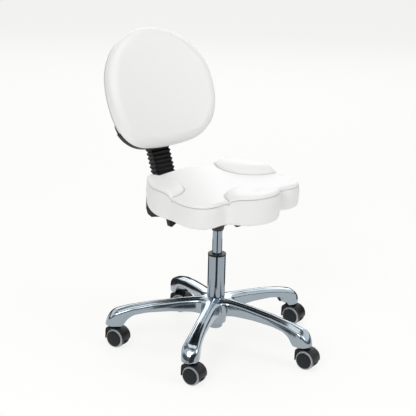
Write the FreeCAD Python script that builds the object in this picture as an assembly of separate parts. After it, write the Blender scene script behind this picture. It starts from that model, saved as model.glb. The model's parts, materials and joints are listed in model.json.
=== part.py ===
import FreeCAD, Part
import math
import os

# A wheeled work stool: five-leg base on twin-wheel casters, gas lift, contoured
# seat with a front pommel, and a tilting backrest on a flat steel J-bar.
#
# Millimetres, +Z up. The origin is on the floor under the column axis. The
# sitter faces -Y, and +X is the sitter's left.

Vec = FreeCAD.Vector

# ---------------------------------------------------------------- fits
running_gap = 0.05        # radial, a shaft that turns or slides in its bore
body_gap = 0.5            # between neighbours on different bodies
seat_gap = 0.3            # under a part that another one pushes

# ---------------------------------------------------------------- base and casters
leg_count = 5
first_leg_deg = 143.1
leg_reach = 288.0         # column axis to a caster's stem
leg_rise = 85.5           # leg tip underside to the crown of the hub
leg_half_width = 18.0     # at mid length
leg_root_half_width = 27.0
leg_tip_radius = 24.0
leg_wall = 4.0
leg_edge_round = 8.0
hub_radius = 34.0

wheel_radius = 27.5
wheel_width = 15.5
wheel_cap_radius = 22.0
wheel_cap_dome = 1.5
caster_trail = 14.0       # stem axis to axle
caster_heading_deg = -72.0
caster_web = 6.0          # half thickness between the wheels
hood_wall = 2.2
hood_gap = 0.9            # tread to hood
hood_back = 16.6          # stem axis to the hood's flat back
hood_head = 4.2           # hood top to leg tip
axle_radius = 3.0
stem_radius = 5.0
stem_grip = 36.0          # stem inside the leg tip

# ---------------------------------------------------------------- gas lift
tube_radius = 25.0
tube_wall = 1.8
tube_drop = 7.3           # tube floor below the leg tips
tube_height = 216.0       # bottom floor to top
tube_foot_radius = 21.5   # foot of the taper
tube_floor = 6.0
collar_height = 5.0
collar_lip = 0.6
bush_length = 95.0
inner_radius = 14.0
inner_wall = 2.0
inner_plug = 12.0
valve_plug = 22.0
rod_radius = 5.0
bearing_radius = 12.0
bearing_height = 6.0
piston_height = 12.0
lift_down = 65.0          # travel below the height drawn here
lift_up = 35.0
pin_radius = 3.0
pin_stand = 4.0           # release pin above the cylinder
release_travel = 2.5

# ---------------------------------------------------------------- seat
seat_bottom_z = 420.0
seat_width = 400.0
seat_length = 372.0
seat_front_y = -204.0
seat_thick = 63.0
seat_pad_rise = 11.0
seat_edge_round = 9.0
board_thick = 12.0
board_inset = 14.0
rim_hang = 6.0            # cushion rim below the board

# ---------------------------------------------------------------- tilt mechanism
plate_thick = 3.0
plate_half_x = 82.0
plate_half_y = 95.0
bolt_radius = 4.0
bolt_head_radius = 6.5
bolt_head_height = 5.0
bolt_half_x = 67.0
bolt_half_y = 78.0
housing_half_x = 52.0
housing_front_y = -32.0
housing_back_y = 95.0
housing_depth = 51.0
housing_wall = 2.5
socket_drop = 21.0        # socket below the housing floor
socket_tip_radius = 16.0
socket_root_radius = 22.0
pivot_y = 60.0
pivot_below_seat = 40.0
pivot_radius = 6.0
pivot_hub_radius = 10.0
lever_arm = 24.0          # height lever's axis to the release pin
lever_radius = 3.5
lever_reach = 170.0
tilt_lever_y = 83.0
tilt_lever_radius = 4.0
tilt_lever_reach = 118.0

# ---------------------------------------------------------------- back arm
bar_width = 50.0
bar_thick = 8.0
bar_bend = 30.0
under_slope_deg = 6.0     # the under-seat run falls to the rear
carrier_thick = 6.0
carrier_length = 92.0     # behind the tilt pivot
shroud_half_x = 50.0
shroud_wall = 3.0
bellows_half_x = 35.0
bellows_half_t = 18.0
bellows_depth = 5.0       # ridge to valley
bellows_pitch = 12.0
bellows_wall = 1.8

# ---------------------------------------------------------------- backrest
back_lean_deg = 22.5
back_mid = Vec(0, 300.4, 745.0)
back_half_width = 186.0
back_up = 122.0           # centre to top, along the lean
back_down = 222.0         # centre to bottom, along the lean
back_curve = 770.0        # radius of the hollow across the back
back_front = 28.0         # middle surface to the front face
back_seam = -18.0         # seam between front cushion and rear cover
back_rear = -28.0
back_round = 17.0
back_board_thick = 10.0
back_board_inset = 22.0
bar_offset = -57.0        # bar behind the middle surface
bar_top_v = -95.0
slider_v0 = -195.0
slider_v1 = -98.0
slider_wall = 6.0
bracket_half = 36.0
cover_top_v = -160.0
housing_top_v = -60.0
cover_bottom_v = -212.0
cover_half_x = 45.0
cover_depth = 84.0        # middle surface to the cover's rear face
cover_wall = 3.0
knob_v = -145.0
knob_radius = 19.0
knob_length = 20.0

# ---------------------------------------------------------------- derived places
hood_radius = wheel_radius + hood_gap + hood_wall
leg_tip_z = wheel_radius + hood_radius + hood_head
hub_top_z = leg_tip_z + 0.97 * leg_rise
tube_bottom_z = leg_tip_z - tube_drop
tube_top_z = tube_bottom_z + tube_height
tube_inner = tube_radius - tube_wall
inner_top_z = seat_bottom_z - plate_thick - 30.0
housing_top_z = seat_bottom_z - plate_thick
housing_floor_z = housing_top_z - housing_depth
socket_bottom_z = housing_floor_z - socket_drop
inner_bottom_z = tube_top_z - bush_length + 5.0 - lift_up
piston_z = inner_bottom_z + inner_plug + lift_up + 15.0
pin_top_z = inner_top_z + pin_stand
lever_axis_z = pin_top_z + seat_gap + lever_radius
lever_swing_deg = math.degrees(math.asin(release_travel / lever_arm))
pivot_z = seat_bottom_z - pivot_below_seat
under = math.radians(under_slope_deg)
lean = math.radians(back_lean_deg)
made = {}


# ---------------------------------------------------------------- helpers
def box(x0, x1, y0, y1, z0, z1):
    """A box between two corners."""
    return Part.makeBox(x1 - x0, y1 - y0, z1 - z0, Vec(x0, y0, z0))


def rod(radius, start, end):
    """A round bar from one point to another."""
    run = end - start
    return Part.makeCylinder(radius, run.Length, start, run)


def ring(outer, inner, z0, z1):
    """A plain ring about the column axis."""
    body = rod(outer, Vec(0, 0, z0), Vec(0, 0, z1))
    return body.cut(rod(inner, Vec(0, 0, z0 - 1), Vec(0, 0, z1 + 1)))


def turned(profile, point=Vec(0, 0, 0), axis=Vec(0, 0, 1)):
    """A turned part from (radius, height) pairs."""
    pairs = profile + [profile[0]]
    wire = Part.makePolygon([Vec(r, 0, z) for r, z in pairs])
    body = Part.Face(wire).revolve(Vec(0, 0, 0), Vec(0, 0, 1), 360)
    body = Part.makeSolid(body) if body.ShapeType == "Shell" else body
    turn = FreeCAD.Rotation(Vec(0, 0, 1), axis)
    body.Placement = FreeCAD.Placement(point, turn)
    return body


def plate_xz(pairs, y0, y1):
    """A flat plate from (x, z) corners, between two y values."""
    wire = Part.makePolygon([Vec(x, y0, z) for x, z in pairs + [pairs[0]]])
    return Part.Face(wire).extrude(Vec(0, y1 - y0, 0))


def prism_yz(pairs, half_x):
    """A prism from (y, z) corners, centred across the stool."""
    wire = Part.makePolygon([Vec(-half_x, y, z) for y, z in pairs + [pairs[0]]])
    return Part.Face(wire).extrude(Vec(2 * half_x, 0, 0))


def bent_rod(points, radius, bend):
    """A round rod along straight runs joined by tangent arcs of one radius."""
    edges = []
    start = points[0]
    for here, corner, beyond in zip(points, points[1:], points[2:]):
        back = (here - corner).normalize()
        ahead = (beyond - corner).normalize()
        half = back.getAngle(ahead) / 2
        cut = bend / math.tan(half)
        middle = (back + ahead).normalize()
        centre = corner + middle * (bend / math.sin(half))
        arc_start = corner + back * cut
        arc_end = corner + ahead * cut
        edges.append(Part.makeLine(start, arc_start))
        arc = Part.Arc(arc_start, centre - middle * bend, arc_end)
        edges.append(arc.toShape())
        start = arc_end
    edges.append(Part.makeLine(start, points[-1]))
    path = Part.Wire(edges)
    circle = Part.Circle(points[0], points[1] - points[0], radius)
    section = Part.Wire([circle.toShape()])
    return path.makePipeShell([section], True, False)


def smooth_closed(points):
    """A smooth closed curve through the points."""
    curve = Part.BSplineCurve()
    curve.interpolate(points, PeriodicFlag=True)
    return Part.Wire([curve.toShape()])


def smooth_open(points):
    """A smooth curve through the points."""
    curve = Part.BSplineCurve()
    curve.interpolate(points)
    return curve.toShape()


def on_back(body):
    """Place a body drawn as (across, up the lean, towards the sitter)."""
    turn = FreeCAD.Rotation(Vec(1, 0, 0), 90 - back_lean_deg)
    body.Placement = FreeCAD.Placement(back_mid, turn).multiply(body.Placement)
    return body


def back_point(across, up, front):
    """A point of the backrest's own frame in the stool's frame."""
    turn = FreeCAD.Rotation(Vec(1, 0, 0), 90 - back_lean_deg)
    return back_mid + turn.multVec(Vec(across, up, front))


def turn_about_column(body, degrees):
    """A copy turned about the column axis."""
    copy = body.copy()
    copy.rotate(Vec(0, 0, 0), Vec(0, 0, 1), degrees)
    return copy


def keep(node, body):
    """Store a node, as one solid where it is one."""
    if body.ShapeType == "Compound" and len(body.Solids) == 1:
        body = body.Solids[0]
    made[node] = body


# ---------------------------------------------------------------- five-leg base
def leg_outline(inset, top_drop):
    """Side view of a leg, from the column to the tip: crown, tip and underside."""
    tip = leg_reach + leg_tip_radius - inset
    crown = [(0.10 * leg_reach, 1.0), (0.36 * leg_reach, 0.93), (0.63 * leg_reach, 0.83),
             (0.85 * leg_reach, 0.69), (leg_reach, 0.54), (tip - 6.0, 0.36), (tip, 0.16)]
    under_side = [(leg_reach - 26.0, 0.10), (leg_reach - 34.0, 0.25), (0.81 * leg_reach, 0.38),
                  (0.68 * leg_reach, 0.48), (0.46 * leg_reach, 0.52), (0.24 * leg_reach, 0.50),
                  (0.13 * leg_reach, 0.42)]
    top = [Vec(r, 0, leg_tip_z + f * leg_rise - top_drop) for r, f in crown]
    low = [Vec(r, 0, leg_tip_z + f * leg_rise) for r, f in under_side]
    return top, low


def leg_plan(inset, start_r, end_r):
    """Plan view of a leg, narrow in the middle, round at the tip."""
    root = leg_root_half_width - inset
    waist = leg_half_width - inset
    tip = leg_tip_radius - inset
    shoulder = leg_reach - 0.6 * leg_tip_radius
    side = [Vec(start_r, root, 0), Vec(0.17 * leg_reach, 0.5 * (root + waist), 0),
            Vec(0.36 * leg_reach, waist, 0), Vec(0.72 * leg_reach, waist + 1.5, 0),
            Vec(shoulder, tip, 0)]
    other = [Vec(p.x, -p.y, 0) for p in reversed(side)]
    round_end = Part.Arc(side[-1], Vec(end_r, 0, 0), other[0]).toShape()
    root_line = Part.makeLine(other[-1], side[0])
    wire = Part.Wire([smooth_open(side), round_end, smooth_open(other), root_line])
    return Part.Face(wire)


def one_leg():
    """A leg with a hollow underside and a solid boss at the tip."""
    top, low = leg_outline(0.0, 0.0)
    tip_low = Vec(top[-1].x, 0, leg_tip_z)
    heel = Vec(low[0].x, 0, leg_tip_z)
    root_low = low[-1]
    edges = [smooth_open(top), Part.makeLine(top[-1], tip_low), Part.makeLine(tip_low, heel),
             Part.makeLine(heel, low[0]), smooth_open(low), Part.makeLine(root_low, top[0])]
    reach = 2 * leg_tip_radius
    side = Part.Face(Part.Wire(edges))
    side.translate(Vec(0, -reach, 0))
    side = side.extrude(Vec(0, 2 * reach, 0))
    plan = leg_plan(0.0, top[0].x, leg_reach + leg_tip_radius)
    plan = plan.extrude(Vec(0, 0, leg_tip_z + 2 * leg_rise))
    leg = side.common(plan)
    rims = [e for e in leg.Edges if e.Length > 2 * leg_tip_radius
            and abs(e.CenterOfMass.y) > 0.4 * leg_half_width
            and e.CenterOfMass.z > leg_tip_z + 0.25 * leg_rise + 0.1 * e.Length]
    leg = leg.makeFillet(leg_edge_round, rims)

    crown, unused = leg_outline(leg_wall, 1.6 * leg_wall)
    floor = -leg_rise
    hollow_end = Vec(leg_reach - 16.0, 0, floor)
    crown = [p for p in crown if p.x < leg_reach - 20.0]
    crown[0] = Vec(hub_radius + 6.0, 0, crown[0].z - 4.0)
    crown.append(Vec(hollow_end.x, 0, leg_tip_z + 0.50 * leg_rise - leg_wall))
    edges = [smooth_open(crown), Part.makeLine(crown[-1], hollow_end),
             Part.makeLine(hollow_end, Vec(crown[0].x, 0, floor)),
             Part.makeLine(Vec(crown[0].x, 0, floor), crown[0])]
    hollow = Part.Face(Part.Wire(edges))
    hollow.translate(Vec(0, -reach, 0))
    hollow = hollow.extrude(Vec(0, 2 * reach, 0))
    room = leg_plan(leg_wall, hub_radius + 6.0, leg_reach + leg_tip_radius - leg_wall)
    room = room.extrude(Vec(0, 0, leg_tip_z + 2 * leg_rise))
    return leg.cut(hollow.common(room))


def make_base():
    """The cast star: five legs and a tapered hub in one piece."""
    leg = one_leg()
    hub_foot_z = leg_tip_z + 0.11 * leg_rise
    hub = turned([(0, hub_foot_z), (hub_radius - 4, hub_foot_z),
                  (hub_radius - 1, hub_foot_z + 0.3 * leg_rise),
                  (hub_radius, hub_top_z - 6), (hub_radius - 4, hub_top_z), (0, hub_top_z)])
    star = hub
    for number in range(leg_count):
        star = star.fuse(turn_about_column(leg, first_leg_deg + 360.0 / leg_count * number))
    star = star.cut(tube_outside())
    for number in range(leg_count):
        foot = caster_place(number)
        bore = rod(stem_radius + running_gap, foot + Vec(0, 0, -1),
                   foot + Vec(0, 0, stem_grip + 2))
        star = star.cut(bore)
    keep("base_star", star.removeSplitter())


def caster_place(number):
    """The underside of leg tip number 0 to 4, on the caster's swivel axis."""
    angle = math.radians(first_leg_deg + 360.0 / leg_count * number)
    return Vec(leg_reach * math.cos(angle), leg_reach * math.sin(angle), leg_tip_z)


# ---------------------------------------------------------------- casters
def caster_hood():
    """Hood drawn along +X with the stem at the origin and the axle behind it."""
    hub = Vec(caster_trail, 0, wheel_radius)
    half = caster_web + wheel_width - 1.5
    top = wheel_radius + hood_radius
    lip = math.radians(-6)
    thin = hood_radius - 0.7 * hood_wall
    arc_end = Vec(hub.x + thin * math.cos(lip), -half, hub.z + thin * math.sin(lip))
    arc_mid = Vec(hub.x + hood_radius * math.cos(math.pi / 3.6), -half,
                  hub.z + hood_radius * math.sin(math.pi / 3.6))
    crown = Vec(hub.x, -half, top)
    corner = Vec(-hood_back + 5, -half, top)
    corner_mid = Vec(-hood_back + 1.5, -half, top - 1.5)
    back_top = Vec(-hood_back, -half, top - 5)
    back_low = Vec(-hood_back, -half, wheel_radius - 4)
    edges = [Part.Arc(arc_end, arc_mid, crown).toShape(), Part.makeLine(crown, corner),
             Part.Arc(corner, corner_mid, back_top).toShape(),
             Part.makeLine(back_top, back_low), Part.makeLine(back_low, arc_end)]
    hood = Part.Face(Part.Wire(edges)).extrude(Vec(0, 2 * half, 0))
    for side in (-1, 1):
        near = side * (caster_web + 0.3)
        far = side * (half + 5)
        hood = hood.cut(rod(wheel_radius + hood_gap, Vec(hub.x, near, hub.z),
                            Vec(hub.x, far, hub.z)))
    web = rod(wheel_radius - 5, hub - Vec(0, caster_web, 0), hub + Vec(0, caster_web, 0))
    neck = rod(stem_radius + 5, Vec(0, 0, top - 2), Vec(0, 0, leg_tip_z - body_gap))
    hood = hood.fuse(web).fuse(neck)
    hood = hood.cut(rod(axle_radius, hub - Vec(0, 30, 0), hub + Vec(0, 30, 0)))
    return hood.cut(caster_stem()).removeSplitter()


def caster_stem():
    """Steel stem pressed into the hood and turning in the leg tip."""
    low = Vec(0, 0, wheel_radius + 8)
    return rod(stem_radius, low, Vec(0, 0, leg_tip_z + stem_grip))


def caster_axle():
    """Steel axle through the web into both wheels."""
    hub = Vec(caster_trail, 0, wheel_radius)
    half = Vec(0, caster_web + 0.75 * wheel_width, 0)
    return rod(axle_radius, hub - half, hub + half)


def caster_wheel(side):
    """One wheel: flat tread, sloped shoulder and a domed cap, closed outside."""
    inner = caster_web + 0.8
    outer = inner + wheel_width
    slope = wheel_radius - wheel_cap_radius - 1.0
    bore = axle_radius + running_gap
    bore_end = caster_web + 0.75 * wheel_width + 0.5
    profile = [(bore, inner), (wheel_radius - 1, inner), (wheel_radius, inner + 1),
               (wheel_radius, outer - slope), (wheel_radius - slope, outer),
               (wheel_cap_radius, outer), (wheel_cap_radius - 1.5, outer + 0.6 * wheel_cap_dome),
               (0, outer + wheel_cap_dome), (0, bore_end), (bore, bore_end)]
    return turned(profile, Vec(caster_trail, 0, wheel_radius), Vec(0, side, 0))


def make_casters():
    """Five casters, all standing the same way."""
    pieces = {"hood": caster_hood(), "stem": caster_stem(), "axle": caster_axle(),
              "wheel_a": caster_wheel(-1), "wheel_b": caster_wheel(1)}
    for number in range(leg_count):
        foot = caster_place(number)
        for name, body in pieces.items():
            copy = turn_about_column(body, caster_heading_deg)
            copy.translate(Vec(foot.x, foot.y, 0))
            keep("caster_%d_%s" % (number + 1, name), copy)


# ---------------------------------------------------------------- gas lift
def tube_outside():
    """Outer tube without its bore: straight above the hub, tapered inside it."""
    return turned([(0, tube_bottom_z), (tube_foot_radius - 4, tube_bottom_z),
                   (tube_foot_radius - 1.2, tube_bottom_z + 2.5),
                   (tube_foot_radius, tube_bottom_z + 8), (tube_radius, hub_top_z),
                   (tube_radius, tube_top_z), (0, tube_top_z)])


def make_gas_lift():
    """Outer tube, guide bush, collar, bearing, piston rod and inner cylinder."""
    floor_z = tube_bottom_z + tube_floor
    bush_z = tube_top_z - bush_length
    bore = turned([(0, floor_z), (tube_foot_radius - 3, floor_z), (tube_inner - 2, hub_top_z),
                   (tube_inner - 2, bush_z - 2), (tube_inner, bush_z),
                   (tube_inner, tube_top_z + 1), (0, tube_top_z + 1)])
    rod_hole = rod(rod_radius + running_gap, Vec(0, 0, tube_bottom_z - 1),
                   Vec(0, 0, floor_z + 1))
    keep("gas_outer_tube", tube_outside().cut(bore).cut(rod_hole))
    keep("gas_guide_bush", ring(tube_inner, inner_radius + running_gap, bush_z, tube_top_z))
    keep("gas_top_collar", ring(tube_radius + collar_lip, inner_radius + 4 * running_gap,
                                tube_top_z, tube_top_z + collar_height))
    keep("gas_thrust_bearing", ring(bearing_radius, rod_radius + 0.4, floor_z,
                                    floor_z + bearing_height))

    shoulder_z = floor_z + bearing_height + seat_gap
    clip_z = tube_bottom_z - seat_gap
    piston_rod = rod(rod_radius, Vec(0, 0, clip_z - 2.5), Vec(0, 0, piston_z + piston_height))
    shoulder = rod(bearing_radius - 3, Vec(0, 0, shoulder_z), Vec(0, 0, shoulder_z + 4))
    keep("gas_piston_rod", piston_rod.fuse(shoulder).removeSplitter())
    keep("gas_rod_clip", ring(rod_radius + 4, rod_radius, clip_z - 2, clip_z))
    inner_bore = inner_radius - inner_wall
    keep("gas_piston", ring(inner_bore - running_gap, rod_radius, piston_z,
                            piston_z + piston_height))

    body = rod(inner_radius, Vec(0, 0, inner_bottom_z), Vec(0, 0, inner_top_z))
    chamber = rod(inner_bore, Vec(0, 0, inner_bottom_z + inner_plug),
                  Vec(0, 0, inner_top_z - valve_plug))
    rod_way = rod(rod_radius + running_gap, Vec(0, 0, inner_bottom_z - 1),
                  Vec(0, 0, inner_bottom_z + inner_plug + 1))
    pin_way = rod(pin_radius + running_gap, Vec(0, 0, inner_top_z - valve_plug - 1),
                  Vec(0, 0, inner_top_z + 1))
    keep("gas_inner_cylinder", body.cut(chamber).cut(rod_way).cut(pin_way))
    keep("gas_release_pin", rod(pin_radius, Vec(0, 0, inner_top_z - 14), Vec(0, 0, pin_top_z)))


# ---------------------------------------------------------------- seat
def seat_outline(inset):
    """Half outline mirrored: rear edge, hip lobes, thigh lobes, front pommel."""
    half = [(0, 168), (60, 160), (108, 153), (128, 150), (151, 131), (179, 88), (199, 25),
            (196, -20), (200, -92), (178, -135), (135, -146), (101, -143), (60, -184),
            (0, -204)]
    drawn_half_width = 200.0
    drawn_length = 372.0
    wide = (seat_width / 2 - inset) / drawn_half_width
    long = (seat_length - 2 * inset) / drawn_length
    middle = seat_front_y + seat_length / 2
    drawn_middle = -204.0 + drawn_length / 2
    right = [Vec(x * wide, middle + (y - drawn_middle) * long, 0) for x, y in half]
    left = [Vec(-p.x, p.y, 0) for p in reversed(right[1:-1])]
    return Part.Face(smooth_closed(right + left))


def make_seat():
    """Plywood board and the upholstered cushion that wraps its rim."""
    lift = Vec(0, 0, seat_bottom_z)
    board = seat_outline(board_inset)
    board.translate(lift)
    board = board.extrude(Vec(0, 0, board_thick))

    rim = seat_outline(0.0)
    rim.translate(lift)
    cushion = rim.extrude(Vec(0, 0, seat_thick))
    skirt = rim.extrude(Vec(0, 0, -rim_hang))
    recess = seat_outline(board_inset)
    recess.translate(lift)
    cushion = cushion.fuse(skirt.cut(recess.extrude(Vec(0, 0, -rim_hang))))
    tall = rim.extrude(Vec(0, 0, seat_thick + seat_pad_rise))
    pommel_y = seat_front_y + 46.0
    hip_x = seat_width / 2
    hip_y = seat_front_y + 0.77 * seat_length
    pads = [(0, pommel_y, 0.242 * seat_length), (hip_x, hip_y, 0.28 * seat_width),
            (-hip_x, hip_y, 0.28 * seat_width)]
    for x, y, radius in pads:
        column = rod(radius, Vec(x, y, seat_bottom_z),
                     Vec(x, y, seat_bottom_z + seat_thick + 2 * seat_pad_rise))
        cushion = cushion.fuse(tall.common(column))
    cushion = cushion.cut(board)

    for x in (-bolt_half_x, bolt_half_x):
        for y in (-bolt_half_y, bolt_half_y):
            board = board.cut(rod(bolt_radius, Vec(x, y, seat_bottom_z - 1),
                                  Vec(x, y, seat_bottom_z + board_thick - 2)))
    keep("seat_board", board)
    keep("seat_cushion", cushion.removeSplitter())


def make_seat_plate():
    """Flange plate under the board, and its four bolts."""
    plate = box(-plate_half_x, plate_half_x, -plate_half_y, plate_half_y,
                housing_top_z, seat_bottom_z)
    corners = [e for e in plate.Edges if abs(e.tangentAt(0).z) > 0.9]
    plate = plate.makeFillet(12, corners)
    bolts = []
    for x in (-bolt_half_x, bolt_half_x):
        for y in (-bolt_half_y, bolt_half_y):
            shank = rod(bolt_radius, Vec(x, y, housing_top_z),
                        Vec(x, y, seat_bottom_z + board_thick - 2))
            head = rod(bolt_head_radius, Vec(x, y, housing_top_z - bolt_head_height),
                       Vec(x, y, housing_top_z))
            plate = plate.cut(shank)
            bolts.append(shank.fuse(head).removeSplitter())
    keep("seat_plate", plate)
    keep("seat_bolts", Part.makeCompound(bolts))


def make_housing():
    """Pressed-steel tilt housing with the socket that takes the cylinder."""
    wall = housing_wall
    outer = box(-housing_half_x, housing_half_x, housing_front_y, housing_back_y,
                housing_floor_z, housing_top_z)
    corners = [e for e in outer.Edges if abs(e.tangentAt(0).z) > 0.9
               and e.CenterOfMass.y < 0]
    outer = outer.makeFillet(8, corners)
    room = box(-housing_half_x + wall, housing_half_x - wall, housing_front_y + wall,
               housing_back_y + 1, housing_floor_z + wall, housing_top_z + 1)
    slot_y = pivot_y - pivot_hub_radius - 4
    rear_slot = box(-housing_half_x + wall, housing_half_x - wall, slot_y,
                    housing_back_y + 1, housing_floor_z - 1, housing_floor_z + wall + 1)
    socket = turned([(0, socket_bottom_z), (socket_tip_radius, socket_bottom_z),
                     (socket_root_radius, housing_floor_z),
                     (socket_root_radius - 2, inner_top_z - 4), (0, inner_top_z - 4)])
    housing = outer.cut(room).cut(rear_slot).fuse(socket)
    housing = housing.cut(rod(inner_radius, Vec(0, 0, socket_bottom_z - 1),
                              Vec(0, 0, inner_top_z + 1)))
    wide = housing_half_x + 10
    pivot_hole = rod(pivot_radius, Vec(-wide, pivot_y, pivot_z), Vec(wide, pivot_y, pivot_z))
    lever_hole = rod(lever_radius + running_gap,
                     Vec(lever_arm, housing_front_y - 1, lever_axis_z),
                     Vec(lever_arm, housing_front_y + wall + 1, lever_axis_z))
    tilt_hole = rod(tilt_lever_radius + running_gap, Vec(-wide, tilt_lever_y, pivot_z),
                    Vec(-housing_half_x + wall + 1, tilt_lever_y, pivot_z))
    housing = housing.cut(pivot_hole).cut(lever_hole).cut(tilt_hole)
    keep("mechanism_housing", housing.removeSplitter())

    end = housing_half_x + 3
    pin = rod(pivot_radius, Vec(-end, pivot_y, pivot_z), Vec(end, pivot_y, pivot_z))
    for side in (-1, 1):
        pin = pin.fuse(rod(pivot_radius + 2.5, Vec(side * housing_half_x, pivot_y, pivot_z),
                           Vec(side * end, pivot_y, pivot_z)))
    keep("tilt_pivot_pin", pin.removeSplitter())


def make_height_lever():
    """Bent rod: finger over the release pin, axis through the front wall, grip outside."""
    front_y = housing_front_y - 2 * lever_radius
    low_z = housing_floor_z - 5
    points = [Vec(-3, 0, lever_axis_z), Vec(lever_arm, 0, lever_axis_z),
              Vec(lever_arm, front_y, lever_axis_z),
              Vec(lever_arm + 2, front_y - 6, low_z), Vec(0.36 * lever_reach, front_y - 21, low_z + 10),
              Vec(lever_reach - 12, front_y - 24, low_z + 26)]
    lever = bent_rod(points, lever_radius, 6.0)
    end = points[-1]
    along = (points[-1] - points[-2]).normalize()
    grip = rod(7.0, end - along * 42, end + along * 10)
    grip = grip.fuse(Part.makeSphere(7.0, end + along * 10))
    keep("height_lever_rod", lever)
    keep("height_lever_grip", grip.cut(lever).removeSplitter())


def make_tilt_lever():
    """Cross rod with a flat drop paddle at the sitter's right."""
    outer = -tilt_lever_reach
    inner = -housing_half_x + housing_wall + 14
    cross = rod(tilt_lever_radius, Vec(outer + 4, tilt_lever_y, pivot_z),
                Vec(inner, tilt_lever_y, pivot_z))
    cam = rod(tilt_lever_radius + 2, Vec(inner - 9, tilt_lever_y, pivot_z),
              Vec(inner, tilt_lever_y, pivot_z))
    keep("tilt_lever_rod", cross.fuse(cam).removeSplitter())
    paddle = plate_xz([(outer, pivot_z + 7), (outer + 9, pivot_z - 25), (outer + 15, pivot_z - 27),
                       (outer + 50, pivot_z - 8), (outer + 50, pivot_z + 7)],
                      tilt_lever_y - 6.5, tilt_lever_y + 6.5)
    keep("tilt_lever_grip", paddle.cut(made["tilt_lever_rod"]))


# ---------------------------------------------------------------- back arm
def bar_corner():
    """Where the under-seat run's centre line meets the upright's, in y and z."""
    drop = (carrier_thick + bar_thick) / 2
    start = Vec(0, pivot_y - drop * math.sin(under), pivot_z - drop * math.cos(under))
    run = Vec(0, math.cos(under), -math.sin(under))
    low = back_point(0, 0, bar_offset)
    up = Vec(0, math.sin(lean), math.cos(lean))
    gap = low - start
    length = (gap.y * up.z - gap.z * up.y) / (run.y * up.z - run.z * up.y)
    return start, run, start + run * length, up


def make_back_arm():
    """Tilt carrier, J-bar, its bolts, the elbow shroud and the bellows."""
    start, run, corner, up = bar_corner()
    half = bar_width / 2
    hub_half = housing_half_x - housing_wall - 3
    axis_a = Vec(-hub_half, pivot_y, pivot_z)
    axis_b = Vec(hub_half, pivot_y, pivot_z)
    tongue = box(-half, half, 0, carrier_length, -carrier_thick / 2, carrier_thick / 2)
    tongue.rotate(Vec(0, 0, 0), Vec(1, 0, 0), -under_slope_deg)
    tongue.translate(Vec(0, pivot_y, pivot_z))
    carrier = rod(pivot_hub_radius, axis_a, axis_b).fuse(tongue)
    carrier = carrier.cut(rod(pivot_radius + running_gap, axis_a - Vec(5, 0, 0),
                              axis_b + Vec(5, 0, 0)))

    bar_start = start + run * (pivot_hub_radius + 14)
    bar_end = back_point(0, bar_top_v, bar_offset)
    bar = bent_strip(bar_start, corner, bar_end)
    normal = Vec(0, math.sin(under), math.cos(under))
    bolts = []
    for across in (-14, 14):
        for along in (pivot_hub_radius + 32, pivot_hub_radius + 62):
            middle = start + run * along + Vec(across, 0, 0)
            top = middle + normal * (bar_thick / 2 + carrier_thick)
            low = middle - normal * (bar_thick / 2)
            shank = rod(bolt_radius, low - normal * 3, top)
            head = rod(bolt_head_radius, top, top + normal * bolt_head_height)
            nut = rod(bolt_head_radius, low - normal * bolt_head_height, low)
            carrier = carrier.cut(shank)
            bar = bar.cut(shank)
            bolts.append(shank.fuse(head).fuse(nut).removeSplitter())
    keep("back_carrier", carrier.removeSplitter())
    keep("back_arm_bar", bar)
    keep("back_arm_bolts", Part.makeCompound(bolts))
    make_shroud(corner)
    make_bellows()


def bent_strip(first, corner, last):
    """Flat bar with one bend, its width across the stool."""
    to_first = (first - corner).normalize()
    to_last = (last - corner).normalize()
    half_turn = to_first.getAngle(to_last) / 2
    middle = (to_first + to_last).normalize()
    centre = corner + middle * (bar_bend / math.sin(half_turn))
    cut = bar_bend / math.tan(half_turn)
    shift = Vec(-bar_width / 2, 0, 0)
    sides = []
    for radius in (bar_bend - bar_thick / 2, bar_bend + bar_thick / 2):
        a = centre + (corner + to_first * cut - centre) * (radius / bar_bend)
        b = centre - middle * radius
        c = centre + (corner + to_last * cut - centre) * (radius / bar_bend)
        p = a + to_first * ((first - corner).Length - cut)
        q = c + to_last * ((last - corner).Length - cut)
        sides.append((p + shift, a + shift, b + shift, c + shift, q + shift))
    edges = []
    for p, a, b, c, q in sides:
        edges.append(Part.makeLine(p, a))
        edges.append(Part.Arc(a, b, c).toShape())
        edges.append(Part.makeLine(c, q))
    edges.append(Part.makeLine(sides[0][0], sides[1][0]))
    edges.append(Part.makeLine(sides[0][4], sides[1][4]))
    wire = Part.Wire(Part.__sortEdges__(edges))
    return Part.Face(wire).extrude(Vec(bar_width, 0, 0))


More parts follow.
